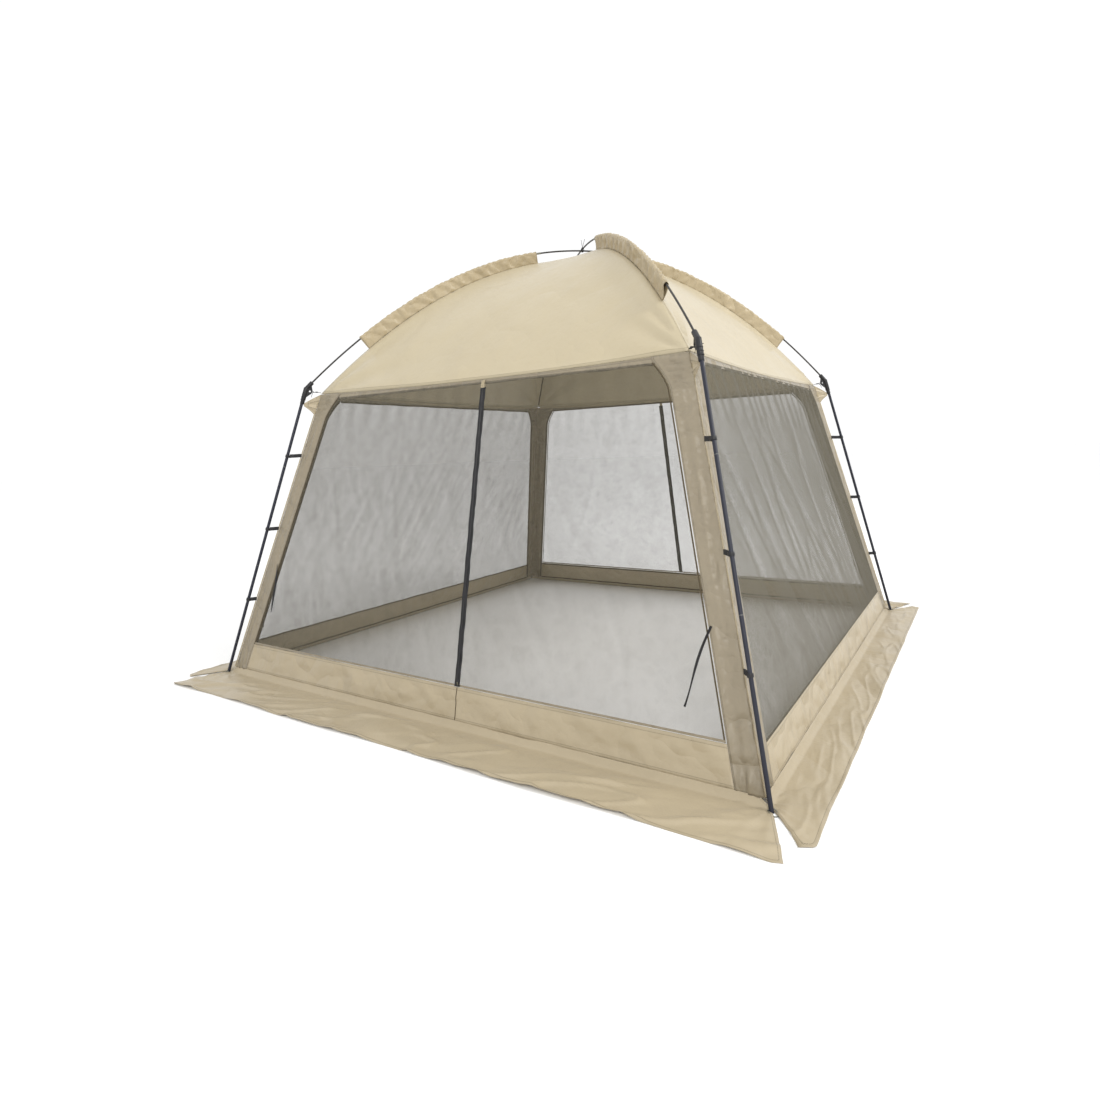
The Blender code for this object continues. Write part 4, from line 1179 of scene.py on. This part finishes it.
# ---------------------------------------------------------------- doors
def make_doors(sizes):
    """Four netting door halves, each with its half of the zip."""
    made = []
    low = LINE["band_top"] + 0.0015
    high = LINE["wall_top_z"]
    number = 0
    for wall in ("front", "back"):
        for half in ("right", "left"):
            number += 1
            side = 1.0 if half == "right" else -1.0
            local = side if wall == "front" else -side
            body = "%s_door_%s_half" % (wall, half)

            def outline(z, local=local, wall=wall):
                edge = local * (strip_edge(z, sizes) - 0.0045)
                free = zip_place(wall, z) + local * DOOR_GAP
                return min(edge, free), max(edge, free)

            tall = (high - low) / WALL_UP.z
            left, right = outline(low)
            top_left, top_right = outline(high)
            flat = ((right - left) * 1.01, tall * 1.01)
            net = netting_sheet("door_netting_%s_%s" % (wall, half), wall, outline, low, high,
                                number + 51.0, (80, 80), flat)
            belong([net], body)
            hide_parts("door_%s_%s" % (wall, half))
            trims = door_trims(wall, half, local, low, high, sizes)
            for piece, slot in trims:
                belong([piece], body)
            made += [net] + [piece for piece, slot in trims]
        made += [zip_loop(wall), head_strip(wall, sizes), wall_head(wall, sizes)]
    return made


def door_trims(wall, half, local, low, high, sizes):
    """Zip tape, half of the coil and the hem tapes of one door half."""
    matrix = turn_matrix(WALLS[wall])
    name = "%s_%s" % (wall, half)
    path = []
    coil = []
    top = high - 0.026
    for share in shares(90):
        z = low + (top - low) * share
        x = zip_place(wall, z)
        waver = 0.0010 * math.sin(z * 37.0 + 0.5) + 0.0008 * math.sin(z * 83.0)
        middle = x + local * (0.0004 + sizes.zip_tape / 2.0)
        path.append(matrix @ wall_point(middle, z, 0.0012 + waver))
        coil.append(matrix @ wall_point(x + local * 0.0018, z, 0.0024))
    right = matrix @ Vector((1.0, 0.0, 0.0))
    tape = tape_object("zip_tape_" + name, path, right, sizes.zip_tape, 0.0014,
                       material("zip_tape_finish"))
    teeth = tube_object("zip_coil_" + name, coil, 0.0013, 6, material("zip_coil_finish"))
    sill = []
    for share in shares(40):
        x = zip_place(wall, low) + local * 0.004
        x += (local * (strip_edge(low, sizes) - 0.0055) - x) * share
        sill.append(matrix @ wall_point(x, low + 0.0050, 0.0004))
    hem = tape_object("door_sill_" + name, sill, matrix @ WALL_UP, sizes.binding, 0.0014,
                      material("strip_cloth_painted_shade"))
    side = []
    for share in shares(40):
        z = low + (high - low) * share
        side.append(matrix @ wall_point(local * (strip_edge(z, sizes) - 0.0075), z, 0.0))
    edge = tape_object("door_edge_" + name, side, right, 0.006, 0.0010, material("seam_binding"))
    return [(tape, "webbing"), (teeth, "hub_plastic"), (hem, "wall_cloth"), (edge, "webbing")]


def zip_loop(wall):
    """The short cloth loop sewn over the top of a zip."""
    path = []
    for share in shares(8):
        z = LINE["wall_top_z"] - 0.030 + 0.034 * share
        path.append(wall_point(zip_place(wall, z), z, 0.0044 + 0.0016 * math.sin(math.pi * share)))
    item = tape_object("zip_loop_" + wall, turned_path(path, WALLS[wall]),
                       turn_matrix(WALLS[wall]) @ Vector((1.0, 0.0, 0.0)), 0.020, 0.0014,
                       material("piping_finish"))
    belong([item], "shelter")
    return item


def wall_head(wall, sizes):
    """Dark binding inside the roof edge, along the top of a door wall."""
    item = wall_tape(wall, "mesh_top_" + wall, LINE["wall_top_z"] - 0.004, sizes, -0.0072)
    belong([item], "shelter")
    return item


def head_strip(wall, sizes):
    """The narrow cloth strip that joins the top of a wall to the roof's edge."""
    columns, rows = 120, 4
    matrix = turn_matrix(WALLS[wall])
    edge = strip_edge(LINE["wall_top_z"], sizes) + 0.004

    def head_point(u, v):
        x = edge * (2.0 * u - 1.0)
        low = LINE["wall_top_z"] - 0.010
        z = low + (eave_height(x) - 0.003 - low) * v
        ruffle = 0.0012 * wander((x * 16.0, v * rows * 0.4, 0.0), 1.0, 71.0)
        return matrix @ wall_point(x, z, -0.0020 + ruffle)

    item = cloth_object("wall_head_" + wall, grid(columns, rows, head_point), columns, rows,
                        (2.0 * edge, 0.028), lambda u, v: min(v, 1.0 - v) * 0.028,
                        material("strip_cloth_painted_shade"), sizes.cloth, matrix @ WALL_OUT)
    belong([item], "shelter")
    return item


# ---------------------------------------------------------------- ground skirts
# reach outwards, half length at the outer edge, and how far the seam's end is tucked in
SKIRTS = {
    "front": (1.760, 1.600, 0.020), "back": (1.760, 1.600, 0.020),
    "right": (1.660, 1.655, 0.024), "left": (1.660, 1.655, 0.024),
}


def skirt_point(wall, across, share, sizes, seed):
    """A point of a ground skirt: across -1 to 1 along the wall, share 0 at the seam to 1."""
    reach, half, tuck = SKIRTS[wall]
    seam = LINE["wall_foot"] + 0.0002
    fold = seam + 0.026
    start = LINE["wall_foot"] - tuck - 0.004
    ends = 1.0 - smooth_step(1.0 - abs(across), 0.0, 0.022)
    if wall in ("front", "back"):
        trim = -0.010 * ends * share + 0.004 * math.sin(across * 9.0 + seed)
    else:
        trim = -0.045 * ends ** 2.2 * share
    if share < 0.16:
        part = share / 0.16
        out = seam + (fold - seam) * part
        z = (LINE["seam_z"] - 0.002) * (1.0 - part) ** 1.6 + 0.0014
    else:
        part = (share - 0.16) / 0.84
        out = fold + (reach + trim - fold) * part
        z = 0.0014
    wide = start + (half - start) * share ** 0.9
    if wall in ("front", "back"):
        wide += 0.020 * smooth_step(share, 0.0, 0.10) * (1.0 - share) + 0.010 * (1.0 - share)
    x = wide * across
    part = max((share - 0.16) / 0.84, 0.0)
    wave = wander((x * 1.9, part * 0.8, 0.0), 1.5, seed)
    wave += 0.45 * wander((x * 4.6, part * 1.7, 3.0), 1.3, seed)
    height = 1.0 if wall in ("front", "back") else 0.40
    lift = sizes.skirt_waves * height * max(wave + 0.08, 0.0) * smooth_step(part, 0.0, 0.35)
    ridge = abs(wander((x * 2.6 + part * 1.4, part * 1.1, 5.0), 1.8, seed + 1.0))
    lift += SKIRT_RIDGE * height * max(0.16 - ridge, 0.0) / 0.16 * smooth_step(part, 0.02, 0.5)
    near = (1.0 - abs(across)) * wide
    fan = math.sin(math.atan2(near, max(out - seam, 0.004)) * 17.0 + seed)
    pucker = SKIRT_PUCKER * max(fan, 0.0) * math.exp(-near / 0.16)
    lift += pucker * smooth_step(share, 0.03, 0.2) * (1.0 - part * 0.75)
    slanted = wander((x * 5.0 + part * 2.6, x * 0.8 - part * 1.2, 7.0), 1.7, seed + 6.0)
    lift += SKIRT_SLANT * height * max(slanted, 0.0) * smooth_step(part, 0.0, 0.2)
    lift += SKIRT_FINE * max(wander((x * 12.0, part * 6.0, 0.0), 1.0, seed + 3.0), 0.0)
    edge_wave = SKIRT_EDGE * wander((x * 3.3, 9.0, 0.0), 1.2, seed + 5.0) * part
    return Vector((x, -(out + edge_wave), z + lift))


def make_skirts(sizes):
    """Four flaps on the ground outside the walls, waved, puckered at the corners and hemmed."""
    made = []
    columns, rows = 330, 40
    for number, (wall, turn) in enumerate(WALLS.items()):
        matrix = turn_matrix(turn)
        reach, half, _ = SKIRTS[wall]
        points = grid(columns, rows, lambda u, v: matrix @ skirt_point(
            wall, 2.0 * u - 1.0, v ** 1.15, sizes, number + 61.0))
        deep = reach - LINE["wall_foot"] + 0.012
        flat = (2.0 * half, deep)
        item = cloth_object("skirt_cloth_" + wall, points, columns, rows, flat,
                            lambda u, v: min((1.0 - v) * deep, min(u, 1.0 - u) * 2.0 * half),
                            material("skirt_cloth_finish"), sizes.cloth, matrix @ UP)
        belong([item], "shelter")
        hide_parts("skirt_" + wall)
        made.append(item)
    return made


# ---------------------------------------------------------------- ribbons
RIBBON_WIDTH = 0.0095
# side of the wall, which strip, top height, inset from the strip's edge, length, drift
RIBBON_ROUTES = {
    "tie_ribbon_front_right": ("outside", 1.0, 0.540, 0.012, 0.290, 0.075),
    "tie_ribbon_front_left": ("outside", -1.0, 0.600, 0.012, 0.260, 0.015),
    "tie_ribbon_front_left_inner": ("inside", -1.0, 0.420, 0.080, 0.180, 0.000),
}


def ribbon_path(place, side, top_z, inset, length, drift, sizes):
    """Points down a hanging ribbon: on the leaning wall outside, or plumb inside."""
    points = []
    off = 0.0053
    for share in shares(36):
        bow = drift * share + 0.006 * math.sin(math.pi * share * 1.5)
        x = side * (strip_edge(top_z, sizes) + inset - bow)
        if place == "outside":
            points.append(wall_point(x, top_z - length * share * WALL_UP.z, off))
        else:
            back = off / -WALL_OUT.y
            points.append(Vector((x, -corner_half(top_z) + back, top_z - length * share)))
    return points


def make_ribbons(sizes):
    """Door ties: flat ribbons that hang loose and twist a little."""
    made = []
    for name, route in RIBBON_ROUTES.items():
        path = ribbon_path(*route, sizes)
        sides = []
        for step in range(len(path)):
            twist = 0.9 * math.sin(step * 0.13 + route[1])
            sides.append(Vector((math.cos(twist), math.sin(twist) * 0.8, 0.0)))
        item = tape_object(name.replace("tie_", ""), path, sides, RIBBON_WIDTH, 0.0009,
                           material("ribbon_finish"))
        belong([item], "shelter")
        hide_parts(name)
        made.append(item)
    return made


# ---------------------------------------------------------------- frame fittings
def leg_axis(z):
    """A point on a leg's axis at a height, in the leg's own upright plane."""
    return Vector(((FOOT_HALF - LEG_LEAN * z) * ROOT2, 0.0, z))


def make_legs():
    """Leg tubes, cut level at the foot, with a thin ring where two sections join."""
    made = []
    for corner, turn in CORNERS.items():
        low, high = turned_path([leg_axis(-0.012), leg_axis(LINE["leg_top"] - 0.0012)], turn)
        item = turned_bar("leg_tube_" + corner, low, high, LEG_RADIUS - SKIN, material("leg_paint"))
        flatten_foot(item)
        joins = []
        for z in LEG_JOINS:
            low, high = turned_path([leg_axis(z), leg_axis(z) + UP_LEG * 0.0012], turn)
            joins.append(lipped_ring("leg_join_%s_%d" % (corner, int(z * 100)), low, high,
                                     LEG_RADIUS + 0.00015, 0.0003, material("ring_metal")))
        belong([item] + joins, "shelter")
        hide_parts("leg_" + corner)
        made += [item] + joins
    return made


def flatten_foot(item):
    """Cut a leg's foot level with the ground."""
    shape_whole(item, (bpy.ops.mesh.bisect, {
        "plane_co": (0.0, 0.0, 0.0008), "plane_no": UP, "use_fill": True, "clear_inner": True}))
    ease_edges(item, 0.0)


def make_rods():
    """Arch rods, bare at the crossing, with a grey ferrule where they leave the sleeves."""
    made = []
    for name, turn in (("upper", -45.0), ("lower", 45.0)):
        path = [rod_point(ROD_END.x * step / 70, name) for step in range(-70, 71)]
        item = drawn_rod("arch_" + name, turned_path(path, turn), ROD_RADIUS - SKIN,
                         material("rod_fibre"))
        pieces = [item]
        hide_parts("arch_rod_" + name)
        for side in (-1.0, 1.0):
            low, high = turned_path([rod_point(side * reach, name) for reach in FERRULE_REACH], turn)
            pieces.append(lipped_ring("ferrule_%s_%s" % (name, "far" if side < 0.0 else "near"),
                                      low, high, ROD_RADIUS + 0.0007, 0.0006,
                                      material("ring_metal"), 24))
        belong(pieces, "shelter")
        made += pieces
    return made


def make_hubs():
    """Moulded elbows with eased edges and grip ribs."""
    made = []
    for corner, turn in CORNERS.items():
        item = refined_copy("hub_" + corner, "elbow_" + corner, material("moulded_plastic"), 0.0009)
        pieces = []
        for step in range(3):
            low = leg_axis(ELBOW_FOOT_Z) + UP_LEG * (0.0245 + 0.0150 * step)
            low, high = turned_path([low, low + UP_LEG * 0.0016], turn)
            pieces.append(lipped_ring("elbow_rib_%s_%d" % (corner, step), low, high, 0.0130, 0.0003,
                                      material("moulded_plastic")))
        belong([item] + pieces, "shelter")
        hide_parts("hub_" + corner)
        made += [item] + pieces
    return made


def make_clips():
    """Leg clips: an eased ring with its strap, and the stitched webbing loop that holds it."""
    made = []
    for corner, turn in CORNERS.items():
        for number, height in enumerate(CLIP_HEIGHTS, start=1):
            node = "leg_clip_%s_%d" % (corner, number)
            item = refined_copy(node, "clip_%s_%d" % (corner, number), material("moulded_plastic"),
                                0.0005)
            seam = corner_half(height) * ROOT2
            leg = leg_axis(height).x
            path = [Vector((seam + 0.0020, 0.0, height)), Vector((seam + 0.0080, 0.0, height + 0.001)),
                    Vector(((seam + leg) / 2.0, 0.0, height)), Vector((leg - 0.0125, 0.0, height))]
            across = turn_matrix(turn) @ UP_LEG
            loop = tape_object("clip_webbing_%s_%d" % (corner, number), turned_path(path, turn), across,
                               0.0190, 0.0042, material("woven_tape"))
            belong([item, loop], "shelter")
            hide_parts(node)
            made += [item, loop]
    return made


def make_corner_straps():
    """Webbing from each hub to the roof's corner, with its keeper and cord ends."""
    made = []
    for corner, turn in CORNERS.items():
        low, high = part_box("corner_strap_" + corner)
        outer = max(abs(low[0]), abs(high[0]))
        inner = min(abs(low[0]), abs(high[0]))
        start = (outer - 0.0042) * ROOT2
        end = (inner + 0.0042) * ROOT2
        path = []
        for share in shares(12):
            reach = start + (end - start) * share
            z = high[2] - 0.0030 - (high[2] - low[2] - 0.006) * share
            path.append(Vector((reach, 0.0, z + 0.003 * math.sin(math.pi * share))))
        across = turn_matrix(turn) @ Vector((0.0, 1.0, 0.0))
        strap = tape_object("roof_strap_" + corner, turned_path(path, turn), across, 0.0120, 0.0018,
                            material("woven_tape"))
        along = turn_matrix(turn) @ Vector((1.0, 0.0, 0.0))
        block = moulded_block("strap_keeper_" + corner, turned_path([path[6]], turn)[0],
                              (along, across, UP), (0.0120, 0.0150, 0.0052),
                              material("moulded_plastic"), 0.0010)
        made += [strap, block]
        belong([strap], "shelter")
        belong([block], "shelter")
        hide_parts("corner_strap_" + corner)
        made += strap_cords(corner, turn, path[2])
    return made


def strap_cords(corner, turn, anchor):
    """The two loose ends of the thin cord tied through the hub's eye."""
    made = []
    ends = ((0.030, 0.021, 0.014), (0.024, -0.012, -0.020))
    for number, (length, sideways, rise) in enumerate(ends):
        path = turned_path([anchor + Vector((length * share * 0.7, 0.009 + sideways * share,
                                             0.004 + rise * share - 0.010 * share * share))
                            for share in shares(10)], turn)
        item = tube_object("strap_cord_%s_%d" % (corner, number), path, 0.0011, 8,
                           material("woven_tape"))
        belong([item], "shelter")
        made.append(item)
    return made


def make_apex_tie():
    """The lashing at the crossing, with two turns of cord over it."""
    made = [refined_copy("apex_tie", "crossing_lashing", material("woven_tape"), 0.0)]
    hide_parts("apex_tie")
    centre = Vector((0.0, 0.0, (ROD_APEX["upper"] + ROD_APEX["lower"]) / 2.0))
    for number, lean in enumerate((22.0, -22.0)):
        path = []
        for share in shares(32):
            turn = 2.0 * math.pi * share
            offset = Vector((math.cos(turn) * 0.0100, math.sin(turn) * 0.0012, math.sin(turn) * 0.0124))
            path.append(centre + turn_matrix(lean * 2.2 + 45.0) @ offset)
        made.append(tube_object("lashing_turn_%d" % number, path, 0.0013, 8, material("woven_tape")))
    belong(made, "shelter")
    return made


def make_rings_and_sliders():
    """Foot rings shaded smooth, and zip sliders with eased edges; each slider has a pull."""
    made = []
    for corner in CORNERS:
        item = refined_copy("foot_ring_" + corner, "peg_ring_" + corner, material("ring_metal"), 0.0)
        belong([item], corner + "_ring")
        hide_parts("foot_ring_" + corner)
        made.append(item)
    for wall in ("front", "back"):
        node = "zip_slider_" + wall
        item = refined_copy(node, "slider_" + wall, material("moulded_plastic"), 0.0008)
        low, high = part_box(node)
        matrix = turn_matrix(WALLS[wall])
        centre = (Vector(low) + Vector(high)) / 2.0
        out = matrix @ WALL_OUT
        rise = matrix @ WALL_UP
        across = matrix @ Vector((1.0, 0.0, 0.0))
        pull = moulded_block("zip_pull_" + wall, centre + out * 0.0042 - rise * 0.0045,
                             (across, out, rise), (0.0060, 0.0014, 0.0170), material("ring_metal"),
                             0.0005)
        belong([item, pull], wall + "_zip_pull")
        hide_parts(node)
        made += [item, pull]
    return made


# ---------------------------------------------------------------- stage
CAMERA_PLACE = (2.0294, -3.5307, 1.1628)
CAMERA_HEADING, CAMERA_TILT, CAMERA_ROLL = 0.5827, -0.1461, -0.0359
FLOOR_RADIUS, FLOOR_Z = 90.0, -0.0002
WORLD_STRENGTH = 1.04
# place, aim, side of the square, power and tint
LIGHTS = {
    "key_light": ((7.0, 0.5, 7.0), (0.0, 0.0, 1.2), 3.0, 325.0, (1.0, 0.985, 0.95)),
    "front_light": ((4.5, -7.5, 6.0), (0.0, 0.0, 1.0), 2.5, 230.0, (1.0, 0.99, 0.97)),
}


def set_camera(sizes):
    """The camera: in front and to the right, at about the height of a seated head."""
    data = bpy.data.cameras.new("main_camera")
    data.sensor_width = 36.0
    data.lens = sizes.camera_lens
    data.clip_end = 200.0
    camera = bpy.data.objects.new("main_camera", data)
    bpy.context.collection.objects.link(camera)
    turn = Matrix.Rotation(CAMERA_HEADING, 4, "Z")
    turn = turn @ Matrix.Rotation(math.pi / 2.0 + CAMERA_TILT, 4, "X")
    turn = turn @ Matrix.Rotation(CAMERA_ROLL, 4, "Z")
    camera.matrix_world = Matrix.Translation(CAMERA_PLACE) @ turn
    bpy.context.scene.camera = camera
    return camera


def add_light(name, place, target, size, power, tint):
    """A square soft light aimed at a point."""
    data = bpy.data.lights.new(name, "AREA")
    data.shape = "SQUARE"
    data.size = size
    data.energy = power
    data.color = tint
    light = bpy.data.objects.new(name, data)
    light.location = place
    light.rotation_euler = (Vector(target) - Vector(place)).to_track_quat("-Z", "Y").to_euler()
    bpy.context.collection.objects.link(light)
    return light


def set_stage():
    """Wide pale floor, plain soft light all round."""
    bpy.ops.object.select_all(action="DESELECT")
    bpy.ops.mesh.primitive_circle_add(vertices=96, radius=FLOOR_RADIUS, fill_type="NGON",
                                      location=(0.0, 0.0, FLOOR_Z))
    floor = bpy.context.object
    floor.name = "studio_floor"
    settle(floor)
    floor.data.materials.append(material("studio_floor"))
    lights = [add_light(name, *setting) for name, setting in LIGHTS.items()]
    world = bpy.data.worlds.new("studio_world")
    world.use_nodes = True
    sky = world.node_tree.nodes["Background"]
    sky.inputs["Color"].default_value = (1.0, 1.0, 1.0, 1.0)
    sky.inputs["Strength"].default_value = WORLD_STRENGTH
    bpy.context.scene.world = world
    bpy.context.scene.view_settings.view_transform = "Standard"
    return [floor] + lights


# ---------------------------------------------------------------- operators
def sizes_of(context):
    """The sizes set in the panel."""
    return context.scene.shelter_sizes


def check_made(pieces):
    """Every piece needs a mesh with faces."""
    for piece in pieces:
        if piece.type == "MESH" and not piece.data.polygons:
            raise RuntimeError(piece.name + " has no faces")


class SHELTER_OT_finishes(bpy.types.Operator):
    """Make every procedural finish"""
    bl_idname = "shelter.finishes"
    bl_label = "Finishes"

    def execute(self, context):
        colours = context.scene.shelter_colours
        weave_group()
        tone_group()
        stitch_group()
        grain_group()
        cloth_material("roof_cloth_finish", list(colours.roof), list(colours.roof_shade), 0.10,
                       fold_size=2.6, folds=0.32, rumples=0.20)
        cloth_material("sleeve_cloth_finish", list(colours.trim), list(colours.trim_shade), 0.10,
                       crease=48.0, hem=0.006, folds=0.60, rumples=0.30)
        cloth_material("wall_cloth_finish", list(colours.wall), list(colours.wall_shade), 0.12,
                       crease=30.0, fold_size=4.4, folds=0.65, rumples=0.28)
        cloth_material("skirt_cloth_finish", list(colours.wall), list(colours.wall_shade), 0.10,
                       crease=22.0, hem=0.010, fold_size=2.8, folds=0.48, rumples=0.18)
        # The strip finish is the wall cloth painted darker and greyer: painted shade.
        cloth_material("strip_cloth_painted_shade", list(colours.strip), list(colours.strip_shade), 0.12,
                       crease=34.0, hem=0.006)
        cloth_material("piping_finish", list(colours.piping), [v * 0.8 for v in colours.piping], 0.1, hem=0.0)
        netting_material(colours)
        webbing_material("seam_binding", list(colours.binding))
        webbing_material("woven_tape", list(colours.webbing))
        webbing_material("ribbon_finish", list(colours.webbing), 1100.0)
        webbing_material("zip_tape_finish", [v * 1.1 for v in colours.webbing])
        hard_material("zip_coil_finish", [v * 1.3 for v in colours.webbing], (0.05, 0.05, 0.055), 0.35, 0.0,
                      1500.0)
        hard_material("leg_paint", list(colours.steel), (0.030, 0.034, 0.048), 0.42, 0.0, 1400.0, 18.0)
        hard_material("rod_fibre", (0.030, 0.028, 0.026), (0.08, 0.075, 0.07), 0.40, 0.0, 700.0, 24.0)
        hard_material("moulded_plastic", list(colours.plastic), (0.045, 0.045, 0.045), 0.42, 0.0, 900.0, 40.0)
        hard_material("ring_metal", list(colours.ring), (0.42, 0.42, 0.38), 0.34, 1.0, 800.0, 60.0)
        stage_material()
        return {"FINISHED"}


class SHELTER_OT_camera(bpy.types.Operator):
    """Place the camera"""
    bl_idname = "shelter.camera"
    bl_label = "Camera"

    def execute(self, context):
        set_camera(sizes_of(context))
        return {"FINISHED"}


class SHELTER_OT_ribbons(bpy.types.Operator):
    """Make the hanging door ties"""
    bl_idname = "shelter.ribbons"
    bl_label = "Door Ties"

    def execute(self, context):
        check_made(make_ribbons(sizes_of(context)))
        return {"FINISHED"}


class SHELTER_OT_roof(bpy.types.Operator):
    """Make the four roof panels and their bindings"""
    bl_idname = "shelter.roof"
    bl_label = "Roof"

    def execute(self, context):
        check_made(make_roof(sizes_of(context)))
        return {"FINISHED"}


class SHELTER_OT_sleeves(bpy.types.Operator):
    """Make the gathered rod sleeves"""
    bl_idname = "shelter.sleeves"
    bl_label = "Rod Sleeves"

    def execute(self, context):
        check_made(make_sleeves())
        return {"FINISHED"}


class SHELTER_OT_corners(bpy.types.Operator):
    """Make the folded corner strips and tabs"""
    bl_idname = "shelter.corners"
    bl_label = "Corner Strips"

    def execute(self, context):
        check_made(make_corner_panels(sizes_of(context)))
        return {"FINISHED"}


class SHELTER_OT_bands(bpy.types.Operator):
    """Make the ground bands of the door walls"""
    bl_idname = "shelter.bands"
    bl_label = "Ground Bands"

    def execute(self, context):
        check_made(make_bands(sizes_of(context)))
        return {"FINISHED"}


class SHELTER_OT_side_walls(bpy.types.Operator):
    """Make the netting side walls"""
    bl_idname = "shelter.side_walls"
    bl_label = "Side Walls"

    def execute(self, context):
        check_made(make_side_walls(sizes_of(context)))
        return {"FINISHED"}


class SHELTER_OT_doors(bpy.types.Operator):
    """Make the netting door halves and their zips"""
    bl_idname = "shelter.doors"
    bl_label = "Doors"

    def execute(self, context):
        check_made(make_doors(sizes_of(context)))
        return {"FINISHED"}


class SHELTER_OT_skirts(bpy.types.Operator):
    """Make the ground skirts"""
    bl_idname = "shelter.skirts"
    bl_label = "Ground Skirts"

    def execute(self, context):
        check_made(make_skirts(sizes_of(context)))
        return {"FINISHED"}


class SHELTER_OT_legs(bpy.types.Operator):
    """Make the leg tubes and their joins"""
    bl_idname = "shelter.legs"
    bl_label = "Legs"

    def execute(self, context):
        check_made(make_legs())
        return {"FINISHED"}


class SHELTER_OT_rods(bpy.types.Operator):
    """Make the arch rods and their ferrules"""
    bl_idname = "shelter.rods"
    bl_label = "Arch Rods"

    def execute(self, context):
        check_made(make_rods())
        return {"FINISHED"}


class SHELTER_OT_hubs(bpy.types.Operator):
    """Make the moulded corner elbows"""
    bl_idname = "shelter.hubs"
    bl_label = "Corner Elbows"

    def execute(self, context):
        check_made(make_hubs())
        return {"FINISHED"}


class SHELTER_OT_clips(bpy.types.Operator):
    """Make the leg clips and their webbing"""
    bl_idname = "shelter.clips"
    bl_label = "Leg Clips"

    def execute(self, context):
        check_made(make_clips())
        return {"FINISHED"}


class SHELTER_OT_straps(bpy.types.Operator):
    """Make the straps from the elbows to the roof"""
    bl_idname = "shelter.straps"
    bl_label = "Corner Straps"

    def execute(self, context):
        check_made(make_corner_straps())
        return {"FINISHED"}


class SHELTER_OT_tie(bpy.types.Operator):
    """Make the lashing where the rods cross"""
    bl_idname = "shelter.tie"
    bl_label = "Crossing Lashing"

    def execute(self, context):
        check_made(make_apex_tie())
        return {"FINISHED"}


class SHELTER_OT_metal(bpy.types.Operator):
    """Make the foot rings and the zip sliders"""
    bl_idname = "shelter.metal"
    bl_label = "Rings and Sliders"

    def execute(self, context):
        check_made(make_rings_and_sliders())
        return {"FINISHED"}


class SHELTER_OT_stage(bpy.types.Operator):
    """Set the floor, the lights and the world"""
    bl_idname = "shelter.stage"
    bl_label = "Stage"

    def execute(self, context):
        set_stage()
        return {"FINISHED"}


class SHELTER_PT_panel(bpy.types.Panel):
    """The sizes, colours and steps of the screen house"""
    bl_idname = "SHELTER_PT_panel"
    bl_label = "Screen House"
    bl_space_type = "VIEW_3D"
    bl_region_type = "UI"
    bl_category = "Screen House"

    def draw(self, context):
        layout = self.layout
        for group in (context.scene.shelter_sizes, context.scene.shelter_colours):
            for name in group.__annotations__:
                layout.prop(group, name)
        for name in ORDER:
            layout.operator("shelter." + name)


ORDER = ["finishes", "camera", "ribbons", "roof", "sleeves", "corners", "bands", "side_walls", "doors",
         "skirts", "legs", "rods", "hubs", "clips", "straps", "tie", "metal", "stage"]
CLASSES = [ShelterSizes, ShelterColours, SHELTER_OT_finishes, SHELTER_OT_camera, SHELTER_OT_ribbons,
           SHELTER_OT_roof, SHELTER_OT_sleeves, SHELTER_OT_corners, SHELTER_OT_bands,
           SHELTER_OT_side_walls, SHELTER_OT_doors, SHELTER_OT_skirts, SHELTER_OT_legs,
           SHELTER_OT_rods, SHELTER_OT_hubs, SHELTER_OT_clips, SHELTER_OT_straps, SHELTER_OT_tie,
           SHELTER_OT_metal, SHELTER_OT_stage, SHELTER_PT_panel]


def register():
    for item in CLASSES:
        bpy.utils.register_class(item)
    bpy.types.Scene.shelter_sizes = bpy.props.PointerProperty(type=ShelterSizes)
    bpy.types.Scene.shelter_colours = bpy.props.PointerProperty(type=ShelterColours)


def unregister():
    del bpy.types.Scene.shelter_colours
    del bpy.types.Scene.shelter_sizes
    for item in reversed(CLASSES):
        bpy.utils.unregister_class(item)


def main():
    register()
    for name in ORDER:
        result = getattr(bpy.ops.shelter, name)()
        if result != {"FINISHED"}:
            raise RuntimeError(name + " did not finish")


if __name__ == "__main__":
    main()
